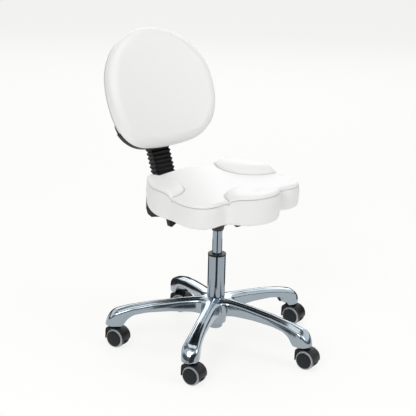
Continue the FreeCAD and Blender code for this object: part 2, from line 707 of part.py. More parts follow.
def make_shroud(corner):
    """Moulded two-wall cover round the elbow of the bar."""
    top = back_point(0, shroud_top_v(), bar_offset)
    back_y = corner.y + 58
    deep = bellows_half_t + shroud_wall
    top_rear = back_point(0, shroud_top_v(), bar_offset - deep)
    top_front = back_point(0, shroud_top_v(), bar_offset + deep)
    outline = [(corner.y - 52, corner.z + 22), (corner.y - 52, corner.z - 11),
               (corner.y - 8, corner.z - 17), (back_y - 25, corner.z - 29),
               (back_y - 8, corner.z - 24), (back_y, corner.z - 8), (back_y, corner.z + 35),
               (top_rear.y, top_rear.z), (top_front.y, top_front.z),
               (corner.y - 2, corner.z + 44), (corner.y - 20, corner.z + 24)]
    outer = prism_yz(outline, shroud_half_x)
    rear = [e for e in outer.Edges if abs(abs(e.CenterOfMass.x) - shroud_half_x) < 0.1
            and e.CenterOfMass.y > corner.y + 8 and e.CenterOfMass.z < top_rear.z - 1]
    outer = outer.makeFillet(5, rear)
    inner_wire = Part.makePolygon([Vec(0, y, z) for y, z in outline + [outline[0]]])
    inner_wire = inner_wire.makeOffset2D(-shroud_wall)
    inner = Part.Face(inner_wire)
    inner.translate(Vec(-shroud_half_x + shroud_wall, 0, 0))
    inner = inner.extrude(Vec(2 * (shroud_half_x - shroud_wall), 0, 0))
    side = bar_width / 2 + 2
    mouth = box(-side, side, -bar_thick, bar_thick, -40, 40)
    mouth.rotate(Vec(0, 0, 0), Vec(1, 0, 0), -back_lean_deg)
    mouth.translate(top)
    front = box(-side, side, corner.y - 60, corner.y - 45, corner.z - 8, corner.z + 19)
    keep("back_arm_shroud", outer.cut(inner).cut(mouth).cut(front).removeSplitter())


def shroud_top_v():
    """Height of the shroud's mouth, up the lean from the backrest's centre."""
    return cover_bottom_v - 8.5 * bellows_pitch


def make_bellows():
    """Rectangular rubber bellows: ruled ridges and valleys round a clear passage."""
    low = shroud_top_v() + body_gap
    high = cover_bottom_v - body_gap
    count = int(round((high - low) / bellows_pitch))
    step = (high - low) / count
    sections = []
    for number in range(2 * count + 1):
        inset = bellows_depth if number % 2 == 0 else 0.0
        half_x = bellows_half_x - inset
        half_t = bellows_half_t - inset
        up = low + step * number / 2
        corners = [Vec(-half_x, up, -half_t), Vec(half_x, up, -half_t), Vec(half_x, up, half_t),
                   Vec(-half_x, up, half_t), Vec(-half_x, up, -half_t)]
        sections.append(Part.makePolygon(corners))
    body = Part.makeLoft(sections, True, True)
    room_x = bellows_half_x - bellows_depth - bellows_wall
    room_t = bellows_half_t - bellows_depth - bellows_wall
    body = body.cut(box(-room_x, room_x, low - 1, high + 1, -room_t, room_t))
    body.translate(Vec(0, 0, bar_offset))
    keep("back_bellows", on_back(body))


# ---------------------------------------------------------------- backrest
def back_outline(inset):
    """Egg outline, wide and flat at the bottom, round at the top."""
    half = [(0, 122), (78, 105), (138, 62), (174, 5), (186, -65), (178, -130), (151, -180),
            (108, -209), (50, -220), (0, -222)]
    drawn_half_width = 186.0
    drawn_length = 344.0
    wide = (back_half_width - inset) / drawn_half_width
    long = (back_up + back_down - 2 * inset) / drawn_length
    middle = (back_up - back_down) / 2
    right = [Vec(x * wide, middle + (y + 50.0) * long, 0) for x, y in half]
    left = [Vec(-p.x, p.y, 0) for p in reversed(right[1:-1])]
    return Part.Face(smooth_closed(right + left))


def curved_slab(inset, low, high):
    """The outline as a slab between two depths, hollowed across the back."""
    face = back_outline(inset)
    face.translate(Vec(0, 0, -back_curve / 4))
    column = face.extrude(Vec(0, 0, back_curve / 2))
    start = Vec(0, -back_down - 20, back_curve)
    end = Vec(0, back_up + 20, back_curve)
    slab = rod(back_curve - low, start, end).cut(rod(back_curve - high, start, end))
    return column.common(slab)


def make_backrest():
    """Board, front cushion, rear cover, black lower cover, slider and screws."""
    board = curved_slab(back_board_inset, back_seam, back_seam + back_board_thick)
    front = curved_slab(0.0, back_seam, back_front)
    rim = [e for e in front.Edges if e.Length > 600 and e.CenterOfMass.z > back_seam + 20]
    front = front.makeFillet(back_round, rim)
    front = front.cut(board)

    wide = back_half_width + 10
    upper = box(-wide, wide, cover_top_v + body_gap, back_up + 10, -60, 60)
    upper = upper.cut(box(-cover_half_x - body_gap, cover_half_x + body_gap, cover_top_v - 1,
                          housing_top_v + body_gap, -60, 60))
    lower = box(-wide, wide, -back_down - 10, cover_top_v, -60, 60)
    shell = curved_slab(0.0, back_rear, back_seam).common(upper)
    cover = curved_slab(1.5, back_rear - 4, back_seam).common(lower)
    pod = box(-cover_half_x, cover_half_x, cover_bottom_v, housing_top_v, -cover_depth,
              back_seam)
    rear_edges = [e for e in pod.Edges if e.CenterOfMass.z < -cover_depth + 1]
    pod = pod.makeFillet(8, rear_edges)
    pod = pod.cut(rod(back_curve - back_seam, Vec(0, -back_down, back_curve),
                      Vec(0, back_up, back_curve)))
    room = box(-cover_half_x + cover_wall, cover_half_x - cover_wall,
               cover_bottom_v + cover_wall, housing_top_v - cover_wall,
               -cover_depth + cover_wall, back_front)
    side = bar_width / 2 + 2
    mouth = box(-side, side, cover_bottom_v - 1, cover_bottom_v + cover_wall + 1,
                bar_offset - bar_thick, bar_offset + bar_thick)
    knob_hole = rod(bolt_radius + 1, Vec(0, knob_v, -cover_depth - 1),
                    Vec(0, knob_v, -cover_depth + cover_wall + 1))
    cover = cover.fuse(pod).cut(room).cut(mouth).cut(knob_hole).removeSplitter()

    inner_x = bar_width / 2 + 0.15
    inner_t = bar_thick / 2 + 0.15
    sleeve = box(-inner_x - slider_wall, inner_x + slider_wall, slider_v0, slider_v1,
                 bar_offset - inner_t - slider_wall, bar_offset + inner_t + slider_wall)
    post = box(-inner_x, inner_x, knob_v - bracket_half + 8, knob_v + bracket_half - 8,
               bar_offset + inner_t + slider_wall, back_seam - 3)
    flange = box(-bracket_half, bracket_half, knob_v - bracket_half, knob_v + bracket_half,
                 back_seam - 3, back_seam)
    way = box(-inner_x, inner_x, slider_v0 - 1, slider_v1 + 1, bar_offset - inner_t,
              bar_offset + inner_t)
    stud_hole = rod(bolt_radius + running_gap,
                    Vec(0, knob_v, bar_offset - inner_t - slider_wall - 1),
                    Vec(0, knob_v, bar_offset - inner_t + 1))
    slider = sleeve.fuse(post).fuse(flange).cut(way).cut(stud_hole)

    screws = []
    for across in (-bracket_half + 5, bracket_half - 5):
        for up in (knob_v - bracket_half + 4, knob_v + bracket_half - 4):
            shank = rod(2.5, Vec(across, up, back_seam - 3), Vec(across, up, back_seam + 8))
            head = rod(4.0, Vec(across, up, back_seam - 5.5), Vec(across, up, back_seam - 3))
            slider = slider.cut(shank)
            board = board.cut(shank)
            screws.append(shank.fuse(head).removeSplitter())
    keep("back_board", on_back(board))
    keep("back_cushion", on_back(front))
    keep("back_shell", on_back(shell))
    keep("back_lower_cover", on_back(cover))
    keep("back_slider", on_back(slider.removeSplitter()))
    keep("back_screws", on_back(Part.makeCompound(screws)))


def make_knob():
    """Clamp knob behind the backrest: lobed grip on a threaded stud."""
    tip = bar_offset - bar_thick / 2 - seat_gap
    face = -cover_depth - 3.0
    stud = rod(bolt_radius, Vec(0, knob_v, face - 12), Vec(0, knob_v, tip))
    grip = rod(knob_radius, Vec(0, knob_v, face - knob_length), Vec(0, knob_v, face))
    neck = rod(9.0, Vec(0, knob_v, face), Vec(0, knob_v, -cover_depth - body_gap))
    lobes = 6
    for number in range(lobes):
        angle = math.radians(360.0 / lobes * number)
        spot = Vec((knob_radius + 6) * math.cos(angle), (knob_radius + 6) * math.sin(angle), 0)
        spot = spot + Vec(0, knob_v, 0)
        grip = grip.cut(rod(9.0, spot + Vec(0, 0, face - knob_length - 1),
                            spot + Vec(0, 0, face + 1)))
    grip = grip.fuse(neck).cut(stud)
    keep("back_knob_grip", on_back(grip.removeSplitter()))
    keep("back_knob_stud", on_back(stud))


# ---------------------------------------------------------------- build
def main():
    """Build every node and write one STEP file for each."""
    make_gas_lift()
    make_base()
    make_casters()
    make_seat()
    make_seat_plate()
    make_housing()
    make_height_lever()
    make_tilt_lever()
    make_back_arm()
    make_backrest()
    make_knob()
    os.makedirs("parts", exist_ok=True)
    for node, body in made.items():
        body.exportStep("parts/%s.step" % node)
        print(node, body.ShapeType, len(body.Solids), body.isValid(), round(body.Volume))


main()
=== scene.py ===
import json
import math

import bmesh
import bpy
import numpy as np
from mathutils import Matrix, Vector


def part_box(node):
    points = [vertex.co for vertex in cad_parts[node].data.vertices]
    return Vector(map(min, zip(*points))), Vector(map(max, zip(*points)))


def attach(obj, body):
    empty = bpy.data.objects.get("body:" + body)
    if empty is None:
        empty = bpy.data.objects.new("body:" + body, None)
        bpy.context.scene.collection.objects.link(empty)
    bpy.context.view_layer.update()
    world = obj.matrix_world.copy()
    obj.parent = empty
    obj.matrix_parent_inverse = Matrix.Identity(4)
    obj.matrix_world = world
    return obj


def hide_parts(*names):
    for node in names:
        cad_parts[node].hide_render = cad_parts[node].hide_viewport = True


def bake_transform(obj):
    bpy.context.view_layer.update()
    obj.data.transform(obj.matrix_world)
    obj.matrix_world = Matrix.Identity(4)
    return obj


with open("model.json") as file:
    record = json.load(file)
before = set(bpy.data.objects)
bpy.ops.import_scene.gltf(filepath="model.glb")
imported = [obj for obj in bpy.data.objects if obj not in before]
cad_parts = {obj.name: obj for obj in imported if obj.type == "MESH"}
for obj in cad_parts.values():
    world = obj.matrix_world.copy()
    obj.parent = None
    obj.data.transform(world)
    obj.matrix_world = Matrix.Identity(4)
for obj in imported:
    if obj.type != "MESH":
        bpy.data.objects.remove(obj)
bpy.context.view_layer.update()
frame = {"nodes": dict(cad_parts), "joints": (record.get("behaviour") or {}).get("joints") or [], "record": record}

bl_info = {
    "name": "Pedicure Stool",
    "version": (1, 0, 0),
    "blender": (4, 5, 0),
    "location": "View3D > Sidebar > Stool",
    "description": "Upholstery, mouldings, casters and finishes of a wheeled salon stool",
    "category": "Add Mesh",
}

MM = 0.001
TAU = 2 * math.pi
LEAN = math.radians(22.5)
UP_LEAN = np.array([0.0, math.sin(LEAN), math.cos(LEAN)])
TO_SITTER = np.array([0.0, -math.cos(LEAN), math.sin(LEAN)])
BACK_MIDDLE = np.array([0.0, 0.3004, 0.745])
JOINTS = {joint["name"]: joint for joint in frame["joints"]}


# ------------ settings
def length(name, about, value):
    """A length setting, in metres."""
    return bpy.props.FloatProperty(name=name, description=about, default=value, unit="LENGTH")


def degrees(name, about, value):
    """An angle setting, given in degrees."""
    return bpy.props.FloatProperty(name=name, description=about, default=math.radians(value),
                                   subtype="ANGLE")


def tint(name, about, value):
    """A colour setting."""
    return bpy.props.FloatVectorProperty(name=name, description=about, default=value,
                                         subtype="COLOR", size=3)


class SeatSettings(bpy.types.PropertyGroup):
    """Shape of the seat's upholstery."""
    rim_height: length("Rim Height", "Floor to the seam at the seat's edge", 0.4750)
    pad_rise: length("Pad Rise", "How far the three raised pads stand above the middle", 0.0125)
    edge_roll: length("Edge Roll", "Radius of the soft upper edge", 0.0085)
    wall_bulge: length("Wall Bulge", "How far the side band stands out at mid height", 0.0022)
    seam_depth: length("Seam Depth", "Depth of the sewn seams", 0.0022)


class BackSettings(bpy.types.PropertyGroup):
    """Shape of the backrest's upholstery."""
    front_depth: length("Front Depth", "Middle surface to the front face", 0.0280)
    curve_radius: length("Curve Radius", "Radius of the hollow across the back", 0.770)
    edge_round: length("Edge Round", "Width of the soft roll round the front face", 0.034)
    seam_depth: length("Seam Depth", "Depth of the seam between front and rear covers", 0.0015)


class FinishSettings(bpy.types.PropertyGroup):
    """Colours of the main finishes."""
    leather: tint("Upholstery", "Colour of the white vinyl cover", (0.885, 0.88, 0.865))
    aluminium: tint("Base Metal", "Colour of the polished cast legs", (0.34, 0.39, 0.43))
    chrome: tint("Column Metal", "Colour of the plated gas lift", (0.30, 0.35, 0.40))
    moulding: tint("Black Mouldings", "Colour of the hoods, covers and grips",
                   (0.004, 0.005, 0.006))
    shoulder: tint("Wheel Ring", "Colour of the ring round each wheel's cap", (0.34, 0.36, 0.37))


class StageSettings(bpy.types.PropertyGroup):
    """Camera and light."""
    camera_place: bpy.props.FloatVectorProperty(
        name="Camera Place", description="Where the camera stands",
        default=(-3.291, -3.683, 2.014), unit="LENGTH", size=3)
    look_azimuth: degrees("Look Azimuth", "Compass direction of the view", -41.45)
    look_down: degrees("Look Down", "Tilt of the view below level", 18.01)
    roll: degrees("Roll", "Turn about the line of sight", 1.47)
    lens: bpy.props.FloatProperty(
        name="Lens", description="Focal length on a 36 mm sensor, in millimetres",
        default=160.8)
    key_power: bpy.props.FloatProperty(
        name="Key Power", description="Power of the main soft light",
        default=57.0, unit="POWER")
    sky: bpy.props.FloatProperty(
        name="Sky", description="Strength of the light from all round", default=0.8)
    floor_glow: bpy.props.FloatProperty(
        name="Floor Glow", description="How bright the white floor is by itself",
        default=0.83)


# ------------ curves
def closed_spline(points, count):
    """A smooth closed curve through the points, sampled evenly along its length.

    Each stretch is a cubic whose slopes at its ends are solved so that the
    curve's bending is continuous all round.
    """
    knots = np.asarray(points, float)
    total = len(knots)
    chord = np.linalg.norm(np.roll(knots, -1, 0) - knots, axis=1)
    before = np.roll(chord, 1)
    row = np.arange(total)
    matrix = np.zeros((total, total))
    matrix[row, row] = 2 * (before + chord)
    matrix[row, (row - 1) % total] = chord
    matrix[row, (row + 1) % total] = before
    ahead = (np.roll(knots, -1, 0) - knots) / chord[:, None]
    behind = np.roll(ahead, 1, 0)
    slope = np.linalg.solve(matrix, 3 * (chord[:, None] * behind + before[:, None] * ahead))
    fine = 64
    t = np.linspace(0, 1, fine, endpoint=False)[None, :, None]
    p0, p1 = knots[:, None], np.roll(knots, -1, 0)[:, None]
    m0 = slope[:, None] * chord[:, None, None]
    m1 = np.roll(slope, -1, 0)[:, None] * chord[:, None, None]
    curve = ((2 * t**3 - 3 * t**2 + 1) * p0 + (t**3 - 2 * t**2 + t) * m0
             + (-2 * t**3 + 3 * t**2) * p1 + (t**3 - t**2) * m1).reshape(-1, knots.shape[1])
    return even_loop(curve, count)


def even_loop(curve, count):
    """A closed polyline sampled again at even steps along its length."""
    loop = np.vstack([curve, curve[:1]])
    run = np.concatenate([[0], np.cumsum(np.linalg.norm(np.diff(loop, axis=0), axis=1))])
    wanted = np.linspace(0, run[-1], count, endpoint=False)
    return np.column_stack([np.interp(wanted, run, loop[:, k]) for k in range(loop.shape[1])])


def mirrored(half):
    """Points of a half outline, first and last on the centre line, made whole."""
    half = np.asarray(half, float)
    left = half[-2:0:-1] * [-1, 1]
    return np.vstack([half, left])


def loop_normals(loop):
    """Outward unit normals of a flat closed loop of points."""
    ahead = np.roll(loop, -1, 0) - np.roll(loop, 1, 0)
    normal = np.column_stack([ahead[:, 1], -ahead[:, 0]])
    normal /= np.linalg.norm(normal, axis=1)[:, None]
    x, y = loop.T
    area = np.sum(x * np.roll(y, -1) - np.roll(x, -1) * y)
    return normal * np.sign(area)


def rounded_polygon(corners, radius, count):
    """A closed outline with every corner rounded by a circle, sampled evenly."""
    pts = np.asarray(corners, float)
    back = np.roll(pts, 1, 0) - pts
    ahead = np.roll(pts, -1, 0) - pts
    back_length = np.linalg.norm(back, axis=1)[:, None]
    ahead_length = np.linalg.norm(ahead, axis=1)[:, None]
    back, ahead = back / back_length, ahead / ahead_length
    half = np.arccos(np.clip(np.sum(back * ahead, axis=1), -1, 1))[:, None] / 2
    room = 0.48 * np.minimum(back_length, ahead_length)
    radii = np.minimum(np.broadcast_to(np.asarray(radius, float).reshape(-1, 1), half.shape),
                       room * np.tan(half))
    cut = radii / np.tan(half)
    t = np.linspace(0, 1, 24)[None, :, None]
    a, b = (pts + back * cut)[:, None], (pts + ahead * cut)[:, None]
    weight = np.sin(half)[:, None]
    corner = pts[:, None]
    rational = (1 - t)**2 + 2 * weight * t * (1 - t) + t**2
    arc = ((1 - t)**2 * a + 2 * weight * t * (1 - t) * corner + t**2 * b) / rational
    return even_loop(arc.reshape(-1, 2), count)


def offset(loop, normal, steps):
    """Copies of a loop, each moved along its normals by one of the steps."""
    return loop[None] + normal[None] * np.asarray(steps)[:, None, None]


def shrunk(middle, core, shares):
    """Copies of a loop drawn in towards a middle, each to its own share."""
    return middle + shares[:, None, None] * (core - middle)[None]


def level(values, count):
    """Rows of equal numbers, one row for each value."""
    return np.asarray(values)[:, None] * np.ones(count)


def smooth_step(low, high, value):
    """0 below low, 1 above high, and a smooth S between."""
    t = np.clip((value - low) / (high - low), 0, 1)
    return t * t * (3 - 2 * t)


# ------------ meshes
def new_piece(name, verts, faces, material, body=None, slot=None, replaces=()):
    """Link a mesh piece, give it its finish and tie it to its CAD body."""
    mesh = bpy.data.meshes.new(name)
    mesh.from_pydata([tuple(v) for v in np.asarray(verts, float)], [], faces)
    mesh.update()
    mesh.shade_smooth()
    piece = bpy.data.objects.new(name, mesh)
    bpy.context.scene.collection.objects.link(piece)
    for each in material if isinstance(material, (list, tuple)) else [material]:
        mesh.materials.append(each)
    if body:
        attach(piece, body)
    if replaces:
        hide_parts(*replaces)
    return piece


def grid_faces(rows, columns, wrap=True):
    """Quads of a rows by columns grid of points, joined round when it wraps."""
    last = columns if wrap else columns - 1
    r, c = np.meshgrid(np.arange(rows - 1), np.arange(last), indexing="ij")
    n = (c + 1) % columns
    quads = np.stack([r * columns + c, r * columns + n, (r + 1) * columns + n,
                      (r + 1) * columns + c], axis=-1)
    return quads.reshape(-1, 4)


def closed_surface(rings):
    """Points and faces of stacked closed rings with a fan at each end.

    rings is (rows, columns, 3); the first and last rings are closed by one
    point each, at their middles.
    """
    rows, columns, _ = rings.shape
    verts = np.vstack([rings.reshape(-1, 3), rings[0].mean(0), rings[-1].mean(0)])
    faces = grid_faces(rows, columns).tolist()
    first, last = rows * columns, rows * columns + 1
    here = np.arange(columns)
    after = (here + 1) % columns
    start = (rows - 1) * columns
    faces += np.column_stack([after, here, np.full(columns, first)]).tolist()
    faces += np.column_stack([start + here, start + after, np.full(columns, last)]).tolist()
    return verts, faces


def facing_out(verts, faces):
    """The faces turned so that the closed surface's volume is positive."""
    v = np.asarray(verts)
    volume = 0.0
    for size in (3, 4):
        group = np.array([f for f in faces if len(f) == size], int)
        if not len(group):
            continue
        for k in range(1, size - 1):
            volume += np.einsum("ij,ij->", v[group[:, 0]],
                                np.cross(v[group[:, k]], v[group[:, k + 1]]))
    return faces if volume > 0 else [list(reversed(f)) for f in faces]


def lathe(profile, place, axis, turns=96):
    """A turned surface: each (radius, height) pair swept round an axis through place.

    A point is place + height * axis + radius * (cos a * side + sin a * other).
    """
    axis = np.asarray(axis, float) / np.linalg.norm(axis)
    side = np.cross(axis, [0.0, 0.0, 1.0] if abs(axis[2]) < 0.9 else [1.0, 0.0, 0.0])
    side /= np.linalg.norm(side)
    other = np.cross(axis, side)
    angle = np.linspace(0, TAU, turns, endpoint=False)
    round_ = np.cos(angle)[:, None] * side + np.sin(angle)[:, None] * other
    profile = np.asarray(profile, float)
    rings = (np.asarray(place, float) + profile[:, 1, None, None] * axis
             + profile[:, 0, None, None] * round_[None])
    verts, faces = closed_surface(rings)
    return verts, facing_out(verts, faces)


def pillow_extrusion(outline, low, high, edge, steps=7):
    """An outline carried from low to high, its rims rounded inwards by edge.

    At a depth d inside either end the outline moves in by
    edge - sqrt(edge^2 - (edge - d)^2), a quarter circle.
    """
    normal = loop_normals(outline)
    turn = np.linspace(0, math.pi / 2, steps)
    inset = edge * (1 - np.sin(turn))
    depth = edge * (1 - np.cos(turn))
    insets = np.concatenate([inset, inset[::-1]])
    levels = np.concatenate([low + depth, high - depth[::-1]])
    flat = outline[None] - insets[:, None, None] * normal[None]
    height = np.broadcast_to(levels[:, None, None], flat.shape[:2] + (1,))
    return np.concatenate([flat, height], axis=2)


def on_back(across, up, front):
    """Points of the backrest's own frame in the stool's frame."""
    across, up, front = np.broadcast_arrays(across, up, front)
    side = across[..., None] * np.array([1.0, 0.0, 0.0])
    return BACK_MIDDLE + side + up[..., None] * UP_LEAN + front[..., None] * TO_SITTER


def skin(name, rings, finish, *links):
    """A closed piece from stacked rings."""
    verts, faces = closed_surface(rings)
    return new_piece(name, verts, facing_out(verts, faces), FINISHES[finish], *links)


def set_attribute(piece, name, values):
    """Store one number per point for a material to read."""
    layer = piece.data.attributes.new(name, "FLOAT", "POINT")
    layer.data.foreach_set("value", np.asarray(values, np.float32))


# ------------ shader groups
def new_group(name, inputs, outputs):
    """A shader node group of numbers: itself, its ends and its object coordinates."""
    group = bpy.data.node_groups.new(name, "ShaderNodeTree")
    for label, value in inputs:
        made = group.interface.new_socket(name=label, in_out="INPUT",
                                          socket_type="NodeSocketFloat")
        made.default_value = value
    for label in outputs:
        group.interface.new_socket(name=label, in_out="OUTPUT", socket_type="NodeSocketFloat")
    enter, leave = group.nodes.new("NodeGroupInput"), group.nodes.new("NodeGroupOutput")
    return group, enter, leave, group.nodes.new("ShaderNodeTexCoord").outputs["Object"]


def math_node(tree, operation, a, b=None, clamp=False):
    """A math node whose inputs are numbers or sockets."""
    node = tree.nodes.new("ShaderNodeMath")
    node.operation = operation
    node.use_clamp = clamp
    for index, value in enumerate([a] if b is None else [a, b]):
        if isinstance(value, (int, float)):
            node.inputs[index].default_value = value
        else:
            tree.links.new(value, node.inputs[index])
    return node.outputs[0]


def noise_node(tree, vector, scale, detail=3.0, rough=0.5):
    """Noise at a scale, on a vector."""
    node = tree.nodes.new("ShaderNodeTexNoise")
    node.inputs["Detail"].default_value = detail
    node.inputs["Roughness"].default_value = rough
    if isinstance(scale, (int, float)):
        node.inputs["Scale"].default_value = scale
    else:
        tree.links.new(scale, node.inputs["Scale"])
    tree.links.new(vector, node.inputs["Vector"])
    return node.outputs["Fac"]


def grain_group():
    """Vinyl grain: small cells pulled together by soft wrinkles, and broad mottling."""
    group, enter, leave, place = new_group(
        "Vinyl Grain", [("Scale", 900.0), ("Wrinkle", 0.35)],
        ["Height", "Mottle"])
    cells = group.nodes.new("ShaderNodeTexVoronoi")
    cells.feature = "SMOOTH_F1"
    group.links.new(place, cells.inputs["Vector"])
    group.links.new(enter.outputs["Scale"], cells.inputs["Scale"])
    wide = noise_node(group, place, 42.0, 2.0)
    wrinkle = math_node(group, "MULTIPLY", wide, enter.outputs["Wrinkle"])
    height = math_node(group, "ADD", cells.outputs["Distance"], wrinkle)
    group.links.new(height, leave.inputs["Height"])
    group.links.new(noise_node(group, place, 7.0, 4.0), leave.inputs["Mottle"])
    return group


def moulded_group():
    """Moulded plastic: fine spark-eroded texture and a faint flow pattern."""
    group, enter, leave, place = new_group(
        "Moulded Texture", [("Scale", 1400.0)],
        ["Height", "Flow"])
    fine = noise_node(group, place, enter.outputs["Scale"], 2.0, 0.6)
    group.links.new(fine, leave.inputs["Height"])
    group.links.new(noise_node(group, place, 18.0, 3.0), leave.inputs["Flow"])
    return group


def polish_group():
    """Polished metal: hazy patches and very fine buffing marks."""
    group, enter, leave, place = new_group(
        "Polish", [("Base", 0.08), ("Haze", 0.08)],
        ["Roughness", "Height", "Tone"])
    haze = noise_node(group, place, 26.0, 4.0)
    spread = math_node(group, "MULTIPLY", haze, enter.outputs["Haze"])
    group.links.new(math_node(group, "ADD", spread, enter.outputs["Base"]),
                    leave.inputs["Roughness"])
    stretch = group.nodes.new("ShaderNodeMapping")
    stretch.inputs["Scale"].default_value = (1.0, 1.0, 0.15)
    group.links.new(place, stretch.inputs["Vector"])
    group.links.new(noise_node(group, stretch.outputs["Vector"], 900.0, 2.0),
                    leave.inputs["Height"])
    group.links.new(noise_node(group, place, 9.0, 3.0), leave.inputs["Tone"])
    return group


def wear_group():
    """Edge wear: brighter where the surface turns sharply outwards."""
    group, enter, leave, place = new_group(
        "Edge Wear", [("Amount", 0.5)], ["Mask"])
    point = group.nodes.new("ShaderNodeNewGeometry").outputs["Pointiness"]
    raised = math_node(group, "SUBTRACT", point, 0.52)
    sharp = math_node(group, "MULTIPLY", raised, 6.0, clamp=True)
    broken = math_node(group, "MULTIPLY", sharp, noise_node(group, place, 160.0, 3.0))
    group.links.new(math_node(group, "MULTIPLY", broken, enter.outputs["Amount"]),
                    leave.inputs["Mask"])
    return group


# ------------ materials
class Finish:
    """A material under construction: its shader, its nodes and small helpers."""

    def __init__(self, name, roughness, metallic=0.0):
        self.material = bpy.data.materials.new(name)
        self.material.use_nodes = True
        self.tree = self.material.node_tree
        self.shader = self.tree.nodes["Principled BSDF"]
        self.set("Roughness", roughness)
        self.set("Metallic", metallic)

    def set(self, name, value):
        """Give one of the shader's inputs a fixed value."""
        self.shader.inputs[name].default_value = value

    def place(self, group, **values):
        """Use a shared group with its own values."""
        node = self.tree.nodes.new("ShaderNodeGroup")
        node.node_tree = group
        for label, value in values.items():
            node.inputs[label].default_value = value
        return node.outputs

    def attribute(self, name):
        """The piece's own stored numbers."""
        node = self.tree.nodes.new("ShaderNodeAttribute")
        node.attribute_name = name
        return node.outputs["Fac"]

    def blend(self, factor, first, second):
        """A colour between two, by a mask."""
        node = self.tree.nodes.new("ShaderNodeMix")
        node.data_type = "RGBA"
        self.tree.links.new(factor, node.inputs["Factor"])
        for value, index in ((first, 6), (second, 7)):
            if isinstance(value, tuple):
                node.inputs[index].default_value = value + (1.0,)
            else:
                self.tree.links.new(value, node.inputs[index])
        return node.outputs[2]

    def ramp(self, value, low, high):
        """A number stretched from 0..1 to low..high."""
        node = self.tree.nodes.new("ShaderNodeMapRange")
        node.inputs["To Min"].default_value = low
        node.inputs["To Max"].default_value = high
        self.tree.links.new(value, node.inputs["Value"])
        return node.outputs["Result"]

    def bump(self, height, strength, distance):
        """Small relief on the surface."""
        node = self.tree.nodes.new("ShaderNodeBump")
        node.inputs["Strength"].default_value = strength
        node.inputs["Distance"].default_value = distance
        self.tree.links.new(height, node.inputs["Height"])
        self.tree.links.new(node.outputs["Normal"], self.shader.inputs["Normal"])

    def feed(self, value, name):
        """Link a value to one of the shader's inputs."""
        self.tree.links.new(value, self.shader.inputs[name])


def scaled(colour, factor):
    """A colour made lighter or darker."""
    return tuple(min(1.0, c * factor) for c in colour)


def vinyl_finish(groups, colour):
    """White upholstery vinyl with grain and mottling; its seams are painted darker, the seam line plus painted
    shade in the groove.
    """
    finish = Finish("White Vinyl", 0.42)
    grain = finish.place(groups["grain"], Scale=1100.0, Wrinkle=0.4)
    tone = finish.blend(grain["Mottle"], scaled(colour, 0.985), scaled(colour, 1.01))
    # seam_line_and_shade: stored per point, mixed to 0.42 of the vinyl colour as the seam line plus painted shade
    # in its groove
    seam_line_and_shade = finish.attribute("seam_line_and_shade")
    finish.feed(finish.blend(seam_line_and_shade, tone, scaled(colour, 0.42)), "Base Color")
    finish.feed(finish.ramp(grain["Mottle"], 0.36, 0.48), "Roughness")
    finish.bump(grain["Height"], 0.10, 0.0006)
    finish.set("Specular IOR Level", 0.5)
    finish.set("Coat Weight", 0.06)
    finish.set("Coat Roughness", 0.25)
    return finish.material


def metal_finish(groups, name, colour, base, haze):
    """Polished or plated metal with slight haze and buffing marks."""
    finish = Finish(name, base, 1.0)
    polish = finish.place(groups["polish"], Base=base, Haze=haze)
    finish.feed(finish.blend(polish["Tone"], scaled(colour, 0.93), scaled(colour, 1.05)),
                "Base Color")
    finish.feed(polish["Roughness"], "Roughness")
    finish.bump(polish["Height"], 0.03, 0.0002)
    return finish.material


def plastic_finish(groups, name, colour, roughness, worn=1.8, relief=0.12):
    """Black moulded plastic or rubber: fine texture, flow and rubbed edges."""
    finish = Finish(name, roughness)
    moulded = finish.place(groups["moulded"], Scale=1400.0)
    wear = finish.place(groups["wear"], Amount=0.35)
    tone = finish.blend(moulded["Flow"], scaled(colour, 0.85), scaled(colour, 1.2))
    rubbed = tuple(c * worn + 0.01 for c in colour)
    finish.feed(finish.blend(wear["Mask"], tone, rubbed), "Base Color")
    finish.feed(finish.ramp(moulded["Flow"], roughness - 0.06, roughness + 0.06), "Roughness")
    finish.bump(moulded["Height"], relief, 0.0004)
    finish.set("Specular IOR Level", 0.28)
    return finish.material


def steel_finish(groups, name, colour, roughness, metallic):
    """Bare or painted steel with worn edges."""
    finish = Finish(name, roughness, metallic)
    polish = finish.place(groups["polish"], Base=roughness, Haze=0.12)
    wear = finish.place(groups["wear"], Amount=0.6)
    tone = finish.blend(polish["Tone"], scaled(colour, 0.85), scaled(colour, 1.1))
    finish.feed(finish.blend(wear["Mask"], tone, scaled(colour, 1.6)), "Base Color")
    finish.feed(polish["Roughness"], "Roughness")
    finish.bump(polish["Height"], 0.08, 0.0003)
    return finish.material


def plywood_finish(groups):
    """Black-stained plywood: long grain bands with fine pores."""
    finish = Finish("Stained Plywood", 0.6)
    tree = finish.tree
    place = tree.nodes.new("ShaderNodeTexCoord").outputs["Object"]
    stretch = tree.nodes.new("ShaderNodeMapping")
    stretch.inputs["Scale"].default_value = (14.0, 1.2, 60.0)
    tree.links.new(place, stretch.inputs["Vector"])
    bands = noise_node(tree, stretch.outputs["Vector"], 4.0, 6.0, 0.6)
    finish.feed(finish.blend(bands, (0.012, 0.013, 0.015), (0.030, 0.032, 0.036)), "Base Color")
    finish.feed(finish.ramp(bands, 0.5, 0.7), "Roughness")
    finish.bump(bands, 0.1, 0.0005)
    return finish.material


FINISHES = {}


